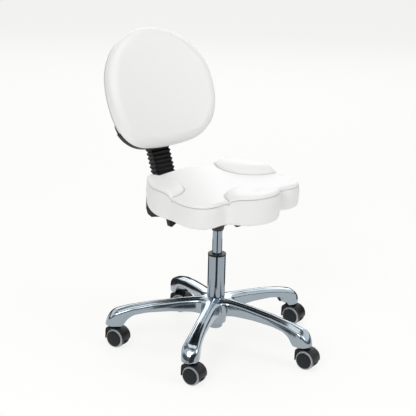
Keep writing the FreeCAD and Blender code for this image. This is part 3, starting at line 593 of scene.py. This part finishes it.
def make_finishes(colours):
    """Build every material once."""
    groups = {"grain": grain_group(), "moulded": moulded_group(), "polish": polish_group(),
              "wear": wear_group()}
    black = tuple(colours.moulding)
    FINISHES.update({
        "vinyl": vinyl_finish(groups, tuple(colours.leather)),
        "aluminium": metal_finish(groups, "Polished Aluminium", tuple(colours.aluminium),
                                  0.09, 0.08),
        "chrome": metal_finish(groups, "Chrome Plate", tuple(colours.chrome), 0.05, 0.05),
        "plastic": plastic_finish(groups, "Black Plastic", black, 0.42),
        "rubber": plastic_finish(groups, "Black Rubber", scaled(black, 0.8), 0.30, relief=0.05),
        "tread": plastic_finish(groups, "Wheel Tread", scaled(black, 1.6), 0.45, relief=0.08),
        "shoulder": plastic_finish(groups, "Wheel Ring", tuple(colours.shoulder), 0.35,
                                   relief=0.05),
        "cap": plastic_finish(groups, "Wheel Cap", scaled(black, 1.8), 0.40, relief=0.10),
        "black_steel": steel_finish(groups, "Black Painted Steel", (0.016, 0.016, 0.018),
                                    0.35, 0.0),
        "steel": steel_finish(groups, "Zinc Plated Steel", (0.55, 0.56, 0.58), 0.28, 1.0),
        "nylon": plastic_finish(groups, "White Nylon", (0.70, 0.69, 0.66), 0.5, worn=1.05),
        "plywood": plywood_finish(groups),
    })


SLOT_FINISH = {
    "white_leather": "vinyl", "polished_aluminium": "aluminium", "chrome": "chrome",
    "black_plastic": "plastic", "wheel_rubber": "tread", "black_rubber": "rubber",
    "black_steel": "black_steel", "steel": "steel", "white_nylon": "nylon",
    "plywood": "plywood",
}


# ------------ seat
SEAT_HALF = [(0, 168), (60, 160), (108, 153), (128, 150), (151, 131), (179, 88), (199, 25),
             (196, -20), (200, -92), (178, -135), (135, -146), (101, -143), (60, -184),
             (0, -204)]
SEAT_MIDDLE = np.array([0.0, -0.012])
# centre and radius of the circle that each raised pad's inner seam follows
SEAT_PADS = [(0.0, -0.158, 0.090), (0.203, 0.083, 0.112), (-0.203, 0.083, 0.112)]


def seat_top(x, y, settings):
    """Height of the seat's top above its rim seam, and the mask of the seam line with its painted groove shade.

    Base: a shallow dish. Each pad adds rise * (1 - exp(-d / 13 mm)) where d is
    the distance inside its seam, and the seam is a narrow groove at d = 0.
    """
    spread = np.hypot(x / 0.150, (y + 0.01) / 0.140)
    height = 0.006 - 0.0045 * np.exp(-spread**2)
    seam_line_and_shade_mask = np.zeros_like(x)
    for cx, cy, radius in SEAT_PADS:
        inside = radius - np.hypot(x - cx, y - cy)
        rise = settings.pad_rise * (1 - np.exp(-np.clip(inside, 0, None) / 0.013))
        rise += 0.0035 * np.sin(math.pi * np.clip(inside / 0.09, 0, 1))
        groove = np.exp(-(inside / 0.0024)**2)
        height = height + np.where(inside > 0, rise, 0) - settings.seam_depth * groove
        # painted shade: a narrow dark line on each pad's seam groove, the seam line plus painted shade in the
        # groove
        seam_line_and_shade_mask = np.maximum(seam_line_and_shade_mask, np.exp(-(inside / 0.0011)**2))
    return height, seam_line_and_shade_mask


def seat_rings(settings):
    """Rings of the seat's skin from the middle of the top, over the rim, to the board.

    Top rows shrink the outline towards the middle; near the rim the height
    falls on a quarter circle. Below the seam the side band bulges as a sine of
    its height, then turns under on a second quarter circle.
    """
    outline = closed_spline(mirrored(SEAT_HALF) * MM, 720)
    normal = loop_normals(outline)
    roll = settings.edge_roll
    inner = np.linspace(0.03, 1.0, 150)**0.85
    core = outline - normal * roll
    top = shrunk(SEAT_MIDDLE, core, inner)
    lift, seam_line_and_shade = seat_top(top[..., 0], top[..., 1], settings)
    z_top = settings.rim_height + roll + lift - 0.004
    edge_z = z_top[-1] - roll
    turn = np.linspace(0, math.pi / 2, 10)[1:]
    over = offset(core, normal, roll * np.sin(turn))
    z_over = edge_z[None] + roll * np.cos(turn)[:, None]
    # the last top row's seam line and painted shade, carried over the rolled rim at 0.6 strength
    rim_seam_line_and_shade = np.zeros(z_over.shape) + seam_line_and_shade[-1] * 0.6
    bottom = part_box("seat_cushion")[0].z
    under = 0.012
    band = np.linspace(0, 1, 26)
    bulge = settings.wall_bulge * np.sin(math.pi * band) - 0.0016 * np.exp(-(band / 0.025)**2)
    side = offset(outline, normal, bulge)
    low_z = bottom + under
    z_side = edge_z[None] + (low_z - edge_z[None]) * band[:, None] - 0.0006
    # painted shadow line along the top of the side band, just under the rolled rim
    rim_painted_shadow_line = level(np.exp(-(band / 0.022)**2), len(outline))
    tuck = np.linspace(0, math.pi / 2, 8)[1:]
    turned = offset(outline, normal, -under * (1 - np.cos(tuck)))
    z_tuck = low_z - under * level(np.sin(tuck), len(outline))
    flat = offset(outline, normal, [-0.0125, -0.0135])
    z_flat = level([bottom, bottom + 0.006], len(outline))
    levels = [z_top, z_over, z_side, z_tuck, z_flat]
    seam_line_and_shade_masks = [seam_line_and_shade, rim_seam_line_and_shade, rim_painted_shadow_line, np.zeros_like(z_tuck), np.zeros_like(z_flat)]
    plan = np.concatenate([top, over, side, turned, flat])
    rings = np.concatenate([plan, np.concatenate(levels)[..., None]], axis=2)
    return rings, np.concatenate(seam_line_and_shade_masks)


class STOOL_OT_seat(bpy.types.Operator):
    """Build the seat's upholstery with its pommel and hip pads"""
    bl_idname = "stool.seat"
    bl_label = "Seat Upholstery"

    def execute(self, context):
        rings, seam_line_and_shade_mask = seat_rings(context.scene.stool_seat)
        piece = skin("seat_upholstery", rings, "vinyl", "seat_frame", "white_leather",
                     ["seat_cushion"])
        # the stored numbers darken the vinyl: seam lines plus painted shade, and the painted shadow line under the
        # rim
        set_attribute(piece, "seam_line_and_shade", np.concatenate([seam_line_and_shade_mask.ravel(), [0, 0]]))
        return {"FINISHED"}


# ------------ backrest
BACK_HALF = [(0, 122), (78, 105), (138, 62), (174, 5), (186, -65), (178, -130), (151, -180),
             (108, -209), (50, -220), (0, -222)]


BACK_CENTRE = np.array([0.0, -0.045])
FRONT_SEAM = -0.018
REAR_SEAM = -0.0182
FACE_CROWN = 0.0025


def back_outline(count):
    """The backrest's egg outline, in metres."""
    return closed_spline(mirrored(BACK_HALF) * MM, count)


def hollow(across, settings):
    """How far the back's curve brings a point towards the sitter: x^2 / 2R."""
    return across**2 / (2 * settings.curve_radius)


def front_rings(settings):
    """Front cushion: crowned face, soft roll and a straight band to the seam.

    Inside the roll the depth is front * sqrt(1 - u^2.4) with u the share of the
    roll's width used; the face itself rises slightly as 1 - s^2.
    """
    outline = back_outline(480)
    normal = loop_normals(outline)
    roll = settings.edge_round
    core = outline - normal * roll
    inner = np.linspace(0.02, 1, 60)
    face = shrunk(BACK_CENTRE, core, inner)
    full = settings.front_depth - FACE_CROWN
    crown = FACE_CROWN * (1 - inner**2)
    face_depth = level(full + crown, len(outline))
    share = np.sin(np.linspace(0, math.pi / 2, 26)[1:])
    rolled = offset(core, normal, roll * share)
    drop = full * (1 - np.sqrt(1 - share**2.4))
    roll_depth = level(full - drop, len(outline))
    band = np.linspace(0, 1, 14)[1:]
    pull = -0.0022 * np.sin(math.pi / 2 * band)**2 - settings.seam_depth * np.exp(
        -((1 - band) / 0.12)**2)
    side = offset(outline, normal, pull)
    side_depth = level(FRONT_SEAM * band, len(outline))
    back = offset(outline, normal, [-0.012, -0.03])
    back_depth = level([FRONT_SEAM, FRONT_SEAM], len(outline))
    plan = np.concatenate([face, rolled, side, back])
    depth = np.concatenate([face_depth, roll_depth, side_depth, back_depth])
    depth = depth + hollow(plan[..., 0], settings)
    # seam line plus painted shade: the band darkens towards the seam with the rear cover, fully on the first tuck
    # row
    seam_line_and_shade_mask = np.concatenate([np.zeros(len(face) + len(rolled)), np.exp(-((1 - band) / 0.10)**2),
                           [1, 0]])
    return on_back(plan[..., 0], plan[..., 1], depth), level(seam_line_and_shade_mask, len(outline))


def rear_rings(settings):
    """Rear cover: a thin rounded shell behind the seam, slightly crowned."""
    outline = back_outline(480)
    normal = loop_normals(outline)
    start = offset(outline, normal, [-0.03, -0.012])
    start_depth = level([REAR_SEAM, REAR_SEAM], len(outline))
    turn = np.linspace(0, math.pi / 2, 10)
    edge, edge_depth = 0.0105, 0.0088
    pull = 0.0030 + edge * (1 - np.cos(turn)) + settings.seam_depth * np.exp(-(turn / 0.2)**2)
    rolled = offset(outline, normal, -pull)
    roll_depth = level(REAR_SEAM - edge_depth * np.sin(turn), len(outline))
    inner = np.linspace(1, 0.02, 40)[1:]
    core = rolled[-1]
    face = shrunk(BACK_CENTRE, core, inner)
    face_depth = level(REAR_SEAM - edge_depth - 0.0010 * (1 - inner**2), len(outline))
    plan = np.concatenate([start, rolled, face])
    depth = np.concatenate([start_depth, roll_depth, face_depth])
    depth = depth + hollow(plan[..., 0], settings)
    # seam line plus painted shade: darkest at the seam, fading over the start of the rear cover's roll
    seam_line_and_shade_mask = np.concatenate([[0, 1], np.exp(-(turn / 0.25)**2), np.zeros(len(face))])
    return on_back(plan[..., 0], plan[..., 1], depth), level(seam_line_and_shade_mask, len(outline))


class STOOL_OT_backrest(bpy.types.Operator):
    """Build the backrest's front cushion and rear cover"""
    bl_idname = "stool.backrest"
    bl_label = "Backrest Upholstery"

    def execute(self, context):
        settings = context.scene.stool_back
        for name, rings, node, fill in (("back_front_cushion", front_rings, "back_cushion", 0.9),
                                        ("back_rear_cover", rear_rings, "back_shell", 0.7)):
            shape, seam_line_and_shade_mask = rings(settings)
            piece = skin(name, shape, "vinyl", "backrest", "white_leather", [node])
            # the stored numbers darken the vinyl as seam lines plus painted shade in their grooves
            set_attribute(piece, "seam_line_and_shade", np.concatenate([seam_line_and_shade_mask.ravel(), [0, 0]]))
        return {"FINISHED"}


def cover_lip_rings(settings):
    """The black cover's lip: a rounded band along the backrest's lower edge.

    Its section is a superellipse in (out from the edge, depth), and it narrows
    to nothing towards both ends as the root of a half sine.
    """
    loop, ends = back_outline(1200), -0.138
    low = loop[:, 1] < ends
    edge, normal = loop[low], loop_normals(loop)[low]
    order = np.argsort(edge[:, 0])
    edge, normal = edge[order], normal[order]
    along = np.linspace(0, 1, len(edge))
    grow = np.sqrt(np.clip(np.sin(math.pi * along), 0.0004, 1))[:, None]
    turn = np.linspace(0, TAU, 28, endpoint=False)[None]
    across = np.sign(np.cos(turn)) * np.abs(np.cos(turn))**0.6
    deep = np.sign(np.sin(turn)) * np.abs(np.sin(turn))**0.6
    out = -0.0082 + 0.0078 * grow * across - 0.0035 * (1 - grow)
    depth = -0.0315 + 0.0095 * grow * deep
    x = edge[:, :1] + normal[:, :1] * out
    up = edge[:, 1:] + normal[:, 1:] * out
    return on_back(x, up, depth + hollow(x, settings))


class STOOL_OT_cover(bpy.types.Operator):
    """Build the lip of the black cover under the backrest"""
    bl_idname = "stool.cover"
    bl_label = "Lower Cover Lip"

    def execute(self, context):
        skin("back_cover_lip", cover_lip_rings(context.scene.stool_back), "plastic", "backrest",
             "black_plastic")
        return {"FINISHED"}


# ------------ bellows
def bellows_rings():
    """Rounded-rectangle rings along the lean, swelling to a sharp ridge each pitch.

    The half sizes are their valley value plus depth * (1 - |2 f - 1|)^1.6, with
    f the share of the pitch.
    """
    low, high = -0.3130, -0.2125
    ridges = 8
    rows = 16 * ridges + 1
    share = np.linspace(0, ridges, rows)
    swell = 0.0051 * (1 - np.abs(2 * (share % 1.0) - 1))**0.8
    swell[-1] = 0.0
    base = rounded_polygon([(-0.0298, -0.0128), (0.0298, -0.0128), (0.0298, 0.0128),
                            (-0.0298, 0.0128)], 0.002, 160)
    normal = loop_normals(base)
    plan = base[None] + normal[None] * swell[:, None, None]
    up = np.linspace(low, high, rows)[:, None] * np.ones(len(base))
    return on_back(plan[..., 0], up, plan[..., 1] - 0.057)


class STOOL_OT_bellows(bpy.types.Operator):
    """Build the rubber bellows over the back bar"""
    bl_idname = "stool.bellows"
    bl_label = "Bellows"

    def execute(self, context):
        rings = bellows_rings()
        piece = skin("bar_bellows", rings, "rubber", None, "black_rubber", ["back_bellows"])
        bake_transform(piece)
        return {"FINISHED"}


# ------------ base star
LEG_TIP_Z = 0.0623
LEG_RISE = 0.0855
FIRST_LEG = math.radians(143.1)
BORE = 0.020
# half plan of one leg, nose to web, as (out along the leg, sideways)
LEG_PLAN = [(312, 0), (308.8, 12), (300, 20.8), (288, 24), (268, 23.4), (245, 21.4),
            (207, 19.4), (160, 18.3), (115, 17.8), (82, 18.2), (59.9, 19.9), (52.5, 21.2),
            (45.8, 24.4), (40.48, 29.41)]
CROWN = [(0, 1.0), (29, 1.0), (104, 0.93), (181, 0.82), (245, 0.68), (288, 0.53), (304, 0.36),
         (314, 0.13)]
UNDER = [(0, 0.42), (37, 0.43), (69, 0.50), (132, 0.52), (196, 0.48), (233, 0.40), (252, 0.26),
         (260, 0.11), (266, 0.0), (320, 0.0)]


def profile_height(knots, reach, width):
    """Height of a side-view curve at each reach: straight runs averaged over a width."""
    at, share = np.asarray(knots, float).T
    fine = np.arange(0, 340.0)
    half = int(width)
    window = np.hanning(2 * half + 3)[1:-1]
    padded = np.pad(np.interp(fine, at, share), half, mode="edge")
    smooth = np.convolve(padded, window / window.sum(), mode="valid")
    return LEG_TIP_Z + LEG_RISE * np.interp(reach / MM, fine, smooth)


def star_outline(count):
    """The five-leg plan outline, starting at the first leg's nose."""
    half = np.array(LEG_PLAN, float) * MM
    leg = np.vstack([half[:0:-1] * [1, -1], half[:-1]])
    loops = []
    for number in range(5):
        angle = FIRST_LEG + TAU / 5 * number
        turn = np.array([[math.cos(angle), math.sin(angle)],
                         [-math.sin(angle), math.cos(angle)]])
        loops.append(leg @ turn)
    points = np.vstack(loops)
    return closed_spline(np.roll(points, -(len(half) - 1), axis=0), count)


def leg_axis_points(plan):
    """For each point, the spot on its leg's middle line that the crown runs to.

    Near the hub the spot slides in to the bore, whose circle it follows with
    angle = share * 36 degrees; at the nose it stays behind the nose's middle.
    """
    bearing = np.arctan2(plan[:, 1], plan[:, 0]) - FIRST_LEG
    number = np.round(bearing / (TAU / 5))
    heading = FIRST_LEG + number * TAU / 5
    along = plan[:, 0] * np.cos(heading) + plan[:, 1] * np.sin(heading)
    near = along.min()
    join, nose, snap = 0.078, 0.262, 0.0035
    spot = np.where(along < join, (along - near) / (join - near) * join, along)
    spot = np.where(along > nose, nose + 0.55 * (along - nose), spot)
    spot = np.where(np.abs(spot - BORE) < snap, BORE, spot)
    fan = math.pi / 5 * np.clip(1 - spot / BORE, 0, 1)
    away = np.sin(bearing + FIRST_LEG - heading)
    angle = heading + np.sign(away) * fan
    spot = np.maximum(spot, BORE)
    return np.column_stack([spot * np.cos(angle), spot * np.sin(angle)])


def star_rings():
    """Rings of the casting: crown, rounded rims, side walls, bottom rim and hollow.

    The crown falls off sideways as bow * (1 - t)^2, t running from the rim to
    the leg's middle line; rims are quarter circles.
    """
    outline = star_outline(1000)
    normal = loop_normals(outline)
    edge, bow, wall, lip = 0.0115, 0.0022, 0.0042, 0.0014
    reach = lambda plan: np.linalg.norm(plan, axis=-1)
    rings = []

    def add(plan, height):
        rings.append(np.column_stack([plan, height]))

    core = outline - normal * edge
    middle = leg_axis_points(core)
    for t in np.linspace(1, 0, 9)[:-1]:
        plan = core + t * (middle - core)
        add(plan, profile_height(CROWN, reach(plan), 14) - bow * (1 - t)**2)
    for turn in np.linspace(0, math.pi / 2, 10):
        plan = core + normal * edge * math.sin(turn)
        add(plan, profile_height(CROWN, reach(plan), 14) - bow - edge * (1 - math.cos(turn)))
    top = rings[-1][:, 2]
    low = np.minimum(profile_height(UNDER, reach(outline), 9), top - 0.004)
    for share in np.linspace(0, 1, 8)[1:]:
        bulge = 0.0005 * math.sin(math.pi * share)
        add(outline + normal * bulge, top + (low + lip - top) * share)
    for turn in np.linspace(0, math.pi, 7)[1:]:
        inset = 0.5 * wall * (1 - math.cos(turn))
        add(outline - normal * inset, low + lip * (1 - math.sin(turn)))
    inner = outline - normal * wall
    roof_edge = outline - normal * (wall + 0.004)
    roof_drop, solid_from, solid_to = 0.0135, 0.262, 0.274
    solid = smooth_step(solid_from, solid_to, reach(inner))
    roof = profile_height(CROWN, reach(roof_edge), 14) - roof_drop
    roof = np.maximum(roof, low)
    for share in np.linspace(0, 1, 5)[1:]:
        plan = inner + (roof_edge - inner) * share**3
        add(plan, low + (roof - low) * (1 - solid) * share)
    centre = leg_axis_points(roof_edge)
    for t in np.linspace(0, 1, 5)[1:]:
        plan = roof_edge + t * (centre - roof_edge)
        roof = profile_height(CROWN, reach(plan), 14) - roof_drop + 0.005 * t
        under = profile_height(UNDER, reach(plan), 9)
        solid = smooth_step(solid_from, solid_to, reach(plan))
        add(plan, under + (np.maximum(roof, under) - under) * (1 - solid))
    return np.array(rings)


class STOOL_OT_base(bpy.types.Operator):
    """Build the polished five-leg casting and its hub boss"""
    bl_idname = "stool.base"
    bl_label = "Base Casting"

    def execute(self, context):
        rings = star_rings()
        rows, columns, _ = rings.shape
        verts = rings.reshape(-1, 3)
        faces = grid_faces(rows, columns).tolist()
        first, last = np.arange(columns), (rows - 1) * columns + np.arange(columns)
        reach = np.linalg.norm(rings[0, :, :2], axis=1)
        inside = (reach < BORE + 1e-6) & (np.roll(reach, -1) < BORE + 1e-6)
        bore = np.column_stack([last, np.roll(last, -1), np.roll(first, -1), first])
        faces += bore[inside].tolist()
        boss = np.array([(BORE, 0.0720), (0.0285, 0.0720), (0.0298, 0.0724), (0.0302, 0.0736),
                         (0.0322, 0.0950), (0.0326, 0.1120), (BORE, 0.1120)])
        turn = np.linspace(0, TAU, 96, endpoint=False)[:, None]
        boss_verts = np.stack([boss[:, 0] * np.cos(turn), boss[:, 0] * np.sin(turn),
                               boss[:, 1] + 0 * turn], axis=-1).reshape(-1, 3)
        ring, step = np.divmod(np.arange(len(boss_verts)), len(boss))
        beside, after = (ring + 1) % len(turn) * len(boss), (step + 1) % len(boss)
        here = ring * len(boss)
        boss_faces = np.column_stack([here + step, beside + step, beside + after, here + after])
        faces += (boss_faces + len(verts)).tolist()
        piece = new_piece("base_casting", np.vstack([verts, boss_verts]), faces,
                          FINISHES["aluminium"], "base", "polished_aluminium", ["base_star"])
        weld(piece)
        return {"FINISHED"}


def weld(piece):
    """Join points that lie on one another and turn the faces outwards."""
    work = bmesh.new()
    work.from_mesh(piece.data)
    bmesh.ops.remove_doubles(work, verts=work.verts, dist=0.00002)
    bmesh.ops.recalc_face_normals(work, faces=work.faces)
    work.to_mesh(piece.data)
    work.free()


# ------------ casters
def caster_frames():
    """Each caster's number, swivel axis, axle middle, trail and axle directions."""
    for number in range(1, 6):
        swivel = np.array(JOINTS["caster_%d_swivel" % number]["pos_m"])
        roll = JOINTS["caster_%d_roll_a" % number]
        axle = np.array(roll["axis"], float)
        trail = np.array([axle[1], -axle[0], 0.0])
        yield number, swivel, np.array(roll["pos_m"]), trail, axle


def wheel_profile():
    """Half wheel section as (radius, distance out from the web), with rounded tread edges."""
    turn = np.linspace(0, math.pi / 2, 6)
    inner = np.column_stack([0.0261 + 0.0014 * np.sin(turn), 0.0068 + 0.0014 * (1 - np.cos(turn))])
    tread = [(0.0275, 0.0170), (0.02735, 0.0180)]
    shoulder = [(0.0269, 0.0187), (0.0234, 0.0218), (0.0229, 0.0221)]
    cap = [(0.0224, 0.0221), (0.0220, 0.0218), (0.0216, 0.0220), (0.0208, 0.0227),
           (0.0180, 0.0231), (0.0100, 0.0236), (0.0004, 0.0237)]
    return np.vstack([[(0.0032, 0.0068)], inner, tread, shoulder, cap])


def hood_reach(angle):
    """Axle to the hood's outside at an angle up from the trailing side.

    Round over the tread in front; behind, a rounded box whose reach is
    ((cos/back)^p + (sin/top)^p)^(-1/p) with p = 7.
    """
    top, back = 0.0305, 0.0306
    box = (np.abs(np.cos(angle) / back)**7 + np.abs(np.sin(angle) / top)**7)**(-1 / 7)
    thin = 0.0016 * (1 - smooth_step(math.radians(-8), math.radians(40), angle))
    return np.where(angle < math.pi / 2, top - thin, box)


def hood_mesh(middle, trail, axle):
    """The hood over both wheels: a bent shell, the web between them and the neck."""
    up = np.array([0.0, 0.0, 1.0])
    angle = np.linspace(math.radians(-8), math.radians(188), 110)
    half, inner = 0.0205, 0.0284
    outer = hood_reach(angle)
    edge = np.minimum(0.0014, 0.45 * (outer - inner))
    turn = np.linspace(0, math.pi / 2, 5)
    rows = []
    for sign in (-1, 1):
        inset = turn if sign < 0 else turn[::-1]
        for t in inset:
            rows.append((outer - edge * (1 - np.sin(t)), sign * (half - edge * (1 - np.cos(t)))))
    for across in np.linspace(half, -half, 6):
        rows.append((np.full_like(angle, inner), np.full_like(angle, across)))
    reach = np.stack([r for r, _ in rows], axis=1)
    across = np.stack([a for _, a in rows], axis=1)
    wave = angle[:, None, None]
    shell = (middle + reach[..., None] * (np.cos(wave) * trail + np.sin(wave) * up)
             + across[..., None] * axle)
    parts = [closed_surface(shell)]
    full = np.linspace(-math.pi / 2, 1.5 * math.pi, 120, endpoint=False)
    cover = smooth_step(-0.30, -0.05, full) * (1 - smooth_step(3.25, 3.55, full))
    web = 0.0222 + (hood_reach(full) - 0.0012 - 0.0222) * cover
    flat = np.column_stack([web * np.cos(full), web * np.sin(full)])
    stack = pillow_extrusion(flat, -0.0060, 0.0060, 0.0010, 4)
    parts.append(closed_surface(middle + stack[..., :1] * trail + stack[..., 1:2] * up
                                + stack[..., 2:] * axle))
    foot = middle - trail * 0.014
    neck = [(0.0004, 0.0280), (0.0115, 0.0280), (0.0115, 0.0312), (0.0100, 0.0320),
            (0.0100, 0.0342), (0.0004, 0.0342)]
    parts.append(lathe(neck, foot, up, 48))
    verts, faces, start = [], [], 0
    for v, f in parts:
        faces += [[start + i for i in face] for face in facing_out(v, f)]
        verts.append(v)
        start += len(v)
    return np.vstack(verts), faces


class STOOL_OT_casters(bpy.types.Operator):
    """Build ten wheels with ring and cap, and five hoods"""
    bl_idname = "stool.casters"
    bl_label = "Casters"

    def execute(self, context):
        materials = [FINISHES[name] for name in ("tread", "shoulder", "cap")]
        profile = wheel_profile()
        ring_start, cap_start = 9, 12
        turns = 96
        for number, swivel, middle, trail, axle in caster_frames():
            verts, faces = hood_mesh(middle, trail, axle)
            new_piece("caster_%d_cowl" % number, verts, faces, FINISHES["plastic"],
                      "caster_%d" % number, "black_plastic", ["caster_%d_hood" % number])
            for label, side in (("a", -1), ("b", 1)):
                node = "caster_%d_wheel_%s" % (number, label)
                verts, faces = lathe(profile, middle, axle * side, turns)
                piece = new_piece("caster_%d_tyre_%s" % (number, label), verts, faces, materials,
                                  node, "wheel_rubber", [node])
                row = np.minimum([min(f) // turns for f in faces], len(profile) - 1)
                row = np.where([max(f) >= len(profile) * turns + 1 for f in faces],
                               len(profile) - 1, row)
                index = np.where(row < ring_start - 1, 0, np.where(row < cap_start - 1, 1, 2))
                piece.data.polygons.foreach_set("material_index", index.astype(np.int32))
        return {"FINISHED"}


# ------------ finishes on the CAD nodes
class STOOL_OT_metalwork(bpy.types.Operator):
    """Give every remaining part its finish"""
    bl_idname = "stool.metalwork"
    bl_label = "Metalwork Finishes"

    def execute(self, context):
        slots = {row["node"]: row["material_slot"] for row in frame["record"]["subparts"]}
        for node, obj in frame["nodes"].items():
            obj.data.materials.clear()
            obj.data.materials.append(FINISHES[SLOT_FINISH[slots[node]]])
        return {"FINISHED"}


# ------------ stage
def area_light(name, place, aim, size, power):
    """A soft rectangular light aimed at a point."""
    light = bpy.data.lights.new(name, "AREA")
    light.shape = "RECTANGLE"
    light.size, light.size_y = size
    light.energy = power
    lamp = bpy.data.objects.new(name, light)
    lamp.location = place
    lamp.rotation_euler = (Vector(aim) - Vector(place)).to_track_quat("-Z", "Y").to_euler()
    bpy.context.scene.collection.objects.link(lamp)


def reflected_card(name, bearing, spread, radius, low, high, tone, glow):
    """A curved card round the stool, dark or glowing, that only reflections show.

    Its points are radius * (cos a, sin a) at two heights, a running over the
    bearing plus and minus the spread.
    """
    angle = np.linspace(bearing - spread, bearing + spread, 49)
    ring = np.column_stack([radius * np.cos(angle), radius * np.sin(angle)])
    verts = np.vstack([np.column_stack([ring, np.full(len(ring), z)]) for z in (low, high)])
    finish = Finish(name, 0.9)
    finish.set("Base Color", (tone, tone, tone, 1))
    finish.set("Emission Color", (0.97, 0.985, 1.0, 1))
    finish.set("Emission Strength", glow)
    card = new_piece(name, verts, grid_faces(2, len(ring), wrap=False).tolist(),
                     finish.material)
    card.visible_camera = False
    card.visible_diffuse = False
    card.visible_shadow = False


class STOOL_OT_stage(bpy.types.Operator):
    """Set up floor, soft lights and camera"""
    bl_idname = "stool.stage"
    bl_label = "Stage"

    def execute(self, context):
        settings = context.scene.stool_stage
        half = 30.0
        corners = [(-half, -half, 0), (half, -half, 0), (half, half, 0), (-half, half, 0)]
        floor_finish = Finish("Studio Floor", 0.9)
        floor_finish.set("Base Color", (0.20, 0.20, 0.20, 1))
        floor_finish.set("Specular IOR Level", 0.0)
        floor_finish.set("Emission Color", (1.0, 1.0, 0.985, 1))
        floor_finish.set("Emission Strength", settings.floor_glow)
        floor = new_piece("studio_floor", corners, [(0, 1, 2, 3)], floor_finish.material)

        world = bpy.data.worlds.new("Studio")
        world.use_nodes = True
        tree = world.node_tree
        sky = tree.nodes["Background"]
        height = tree.nodes.new("ShaderNodeSeparateXYZ")
        tree.links.new(tree.nodes.new("ShaderNodeTexCoord").outputs["Generated"],
                       height.inputs["Vector"])
        shade = tree.nodes.new("ShaderNodeValToRGB")
        for stop, tone in zip(shade.color_ramp.elements, ((0.16, 0.17, 0.18),
                                                          (0.30, 0.31, 0.32))):
            stop.color = tone + (1.0,)
        tree.links.new(height.outputs["Z"], shade.inputs["Fac"])
        tree.links.new(shade.outputs["Color"], sky.inputs["Color"])
        sky.inputs["Strength"].default_value = settings.sky
        context.scene.world = world
        context.scene.view_settings.view_transform = "Standard"

        power = settings.key_power
        area_light("key", (-3.0, -1.6, 2.6), (0, 0, 0.5), (1.6, 1.6), power)
        area_light("fill", (1.2, -3.4, 2.2), (0, 0, 0.5), (1.2, 2.0), 0.47 * power)
        area_light("top", (0.2, 0.3, 3.4), (0, 0, 0.3), (3.0, 3.0), 0.78 * power)
        area_light("rear", (2.3, 2.6, 1.5), (0, 0, 0.2), (3.4, 1.5), 0.36 * power)
        for name, bearing, spread, place in (
                ("flag_behind", 48.2, 62.0, (0.50, 0.0, 0.15, 0.02, 0.0)),
                ("flag_front", 228.2, 13.0, (0.50, 0.0, 0.24, 0.06, 0.0)),
                ("card_behind", 48.2, 110.0, (5.0, 1.0, 4.6, 0.5, 0.95)),
                ("card_front", 228.2, 70.0, (5.0, 2.6, 8.0, 0.5, 0.80))):
            reflected_card(name, math.radians(bearing), math.radians(spread), *place)

        camera = bpy.data.cameras.new("camera")
        camera.lens = settings.lens
        camera.sensor_width = 36.0
        camera.clip_end = 100.0
        eye = bpy.data.objects.new("camera", camera)
        azimuth, down, roll = settings.look_azimuth, settings.look_down, settings.roll
        forward = Vector((-math.sin(azimuth) * math.cos(down), math.cos(azimuth) * math.cos(down),
                          -math.sin(down)))
        right = Vector((math.cos(azimuth), math.sin(azimuth), 0))
        above = right.cross(forward)
        side = math.cos(roll) * right + math.sin(roll) * above
        top = -math.sin(roll) * right + math.cos(roll) * above
        turn = Matrix((side, top, -forward)).transposed().to_4x4()
        eye.matrix_world = Matrix.Translation(Vector(settings.camera_place)) @ turn
        context.scene.collection.objects.link(eye)
        context.scene.camera = eye
        return {"FINISHED"}


class STOOL_PT_panel(bpy.types.Panel):
    """Buttons for each group of pieces"""
    bl_idname = "STOOL_PT_panel"
    bl_label = "Pedicure Stool"
    bl_space_type = "VIEW_3D"
    bl_region_type = "UI"
    bl_category = "Stool"

    def draw(self, context):
        for operator in OPERATORS:
            self.layout.operator(operator.bl_idname)
        for name in ("stool_seat", "stool_back", "stool_finish", "stool_stage"):
            settings = getattr(context.scene, name)
            for label in settings.bl_rna.properties.keys():
                if label not in ("rna_type", "name"):
                    self.layout.prop(settings, label)


SETTINGS = {"stool_seat": SeatSettings, "stool_back": BackSettings,
            "stool_finish": FinishSettings, "stool_stage": StageSettings}
OPERATORS = (STOOL_OT_metalwork, STOOL_OT_seat, STOOL_OT_backrest, STOOL_OT_cover,
             STOOL_OT_bellows,
             STOOL_OT_base, STOOL_OT_casters, STOOL_OT_stage)


def register():
    """Register the settings, operators and panel."""
    for name, group in SETTINGS.items():
        bpy.utils.register_class(group)
        setattr(bpy.types.Scene, name, bpy.props.PointerProperty(type=group))
    for operator in OPERATORS:
        bpy.utils.register_class(operator)
    bpy.utils.register_class(STOOL_PT_panel)


def unregister():
    """Take everything back out again."""
    bpy.utils.unregister_class(STOOL_PT_panel)
    for operator in reversed(OPERATORS):
        bpy.utils.unregister_class(operator)
    for name, group in SETTINGS.items():
        delattr(bpy.types.Scene, name)
        bpy.utils.unregister_class(group)


def main():
    """Build the whole stool."""
    register()
    make_finishes(bpy.context.scene.stool_finish)
    for operator in OPERATORS:
        group, name = operator.bl_idname.split(".")
        getattr(getattr(bpy.ops, group), name)()


if __name__ == "__main__":
    main()
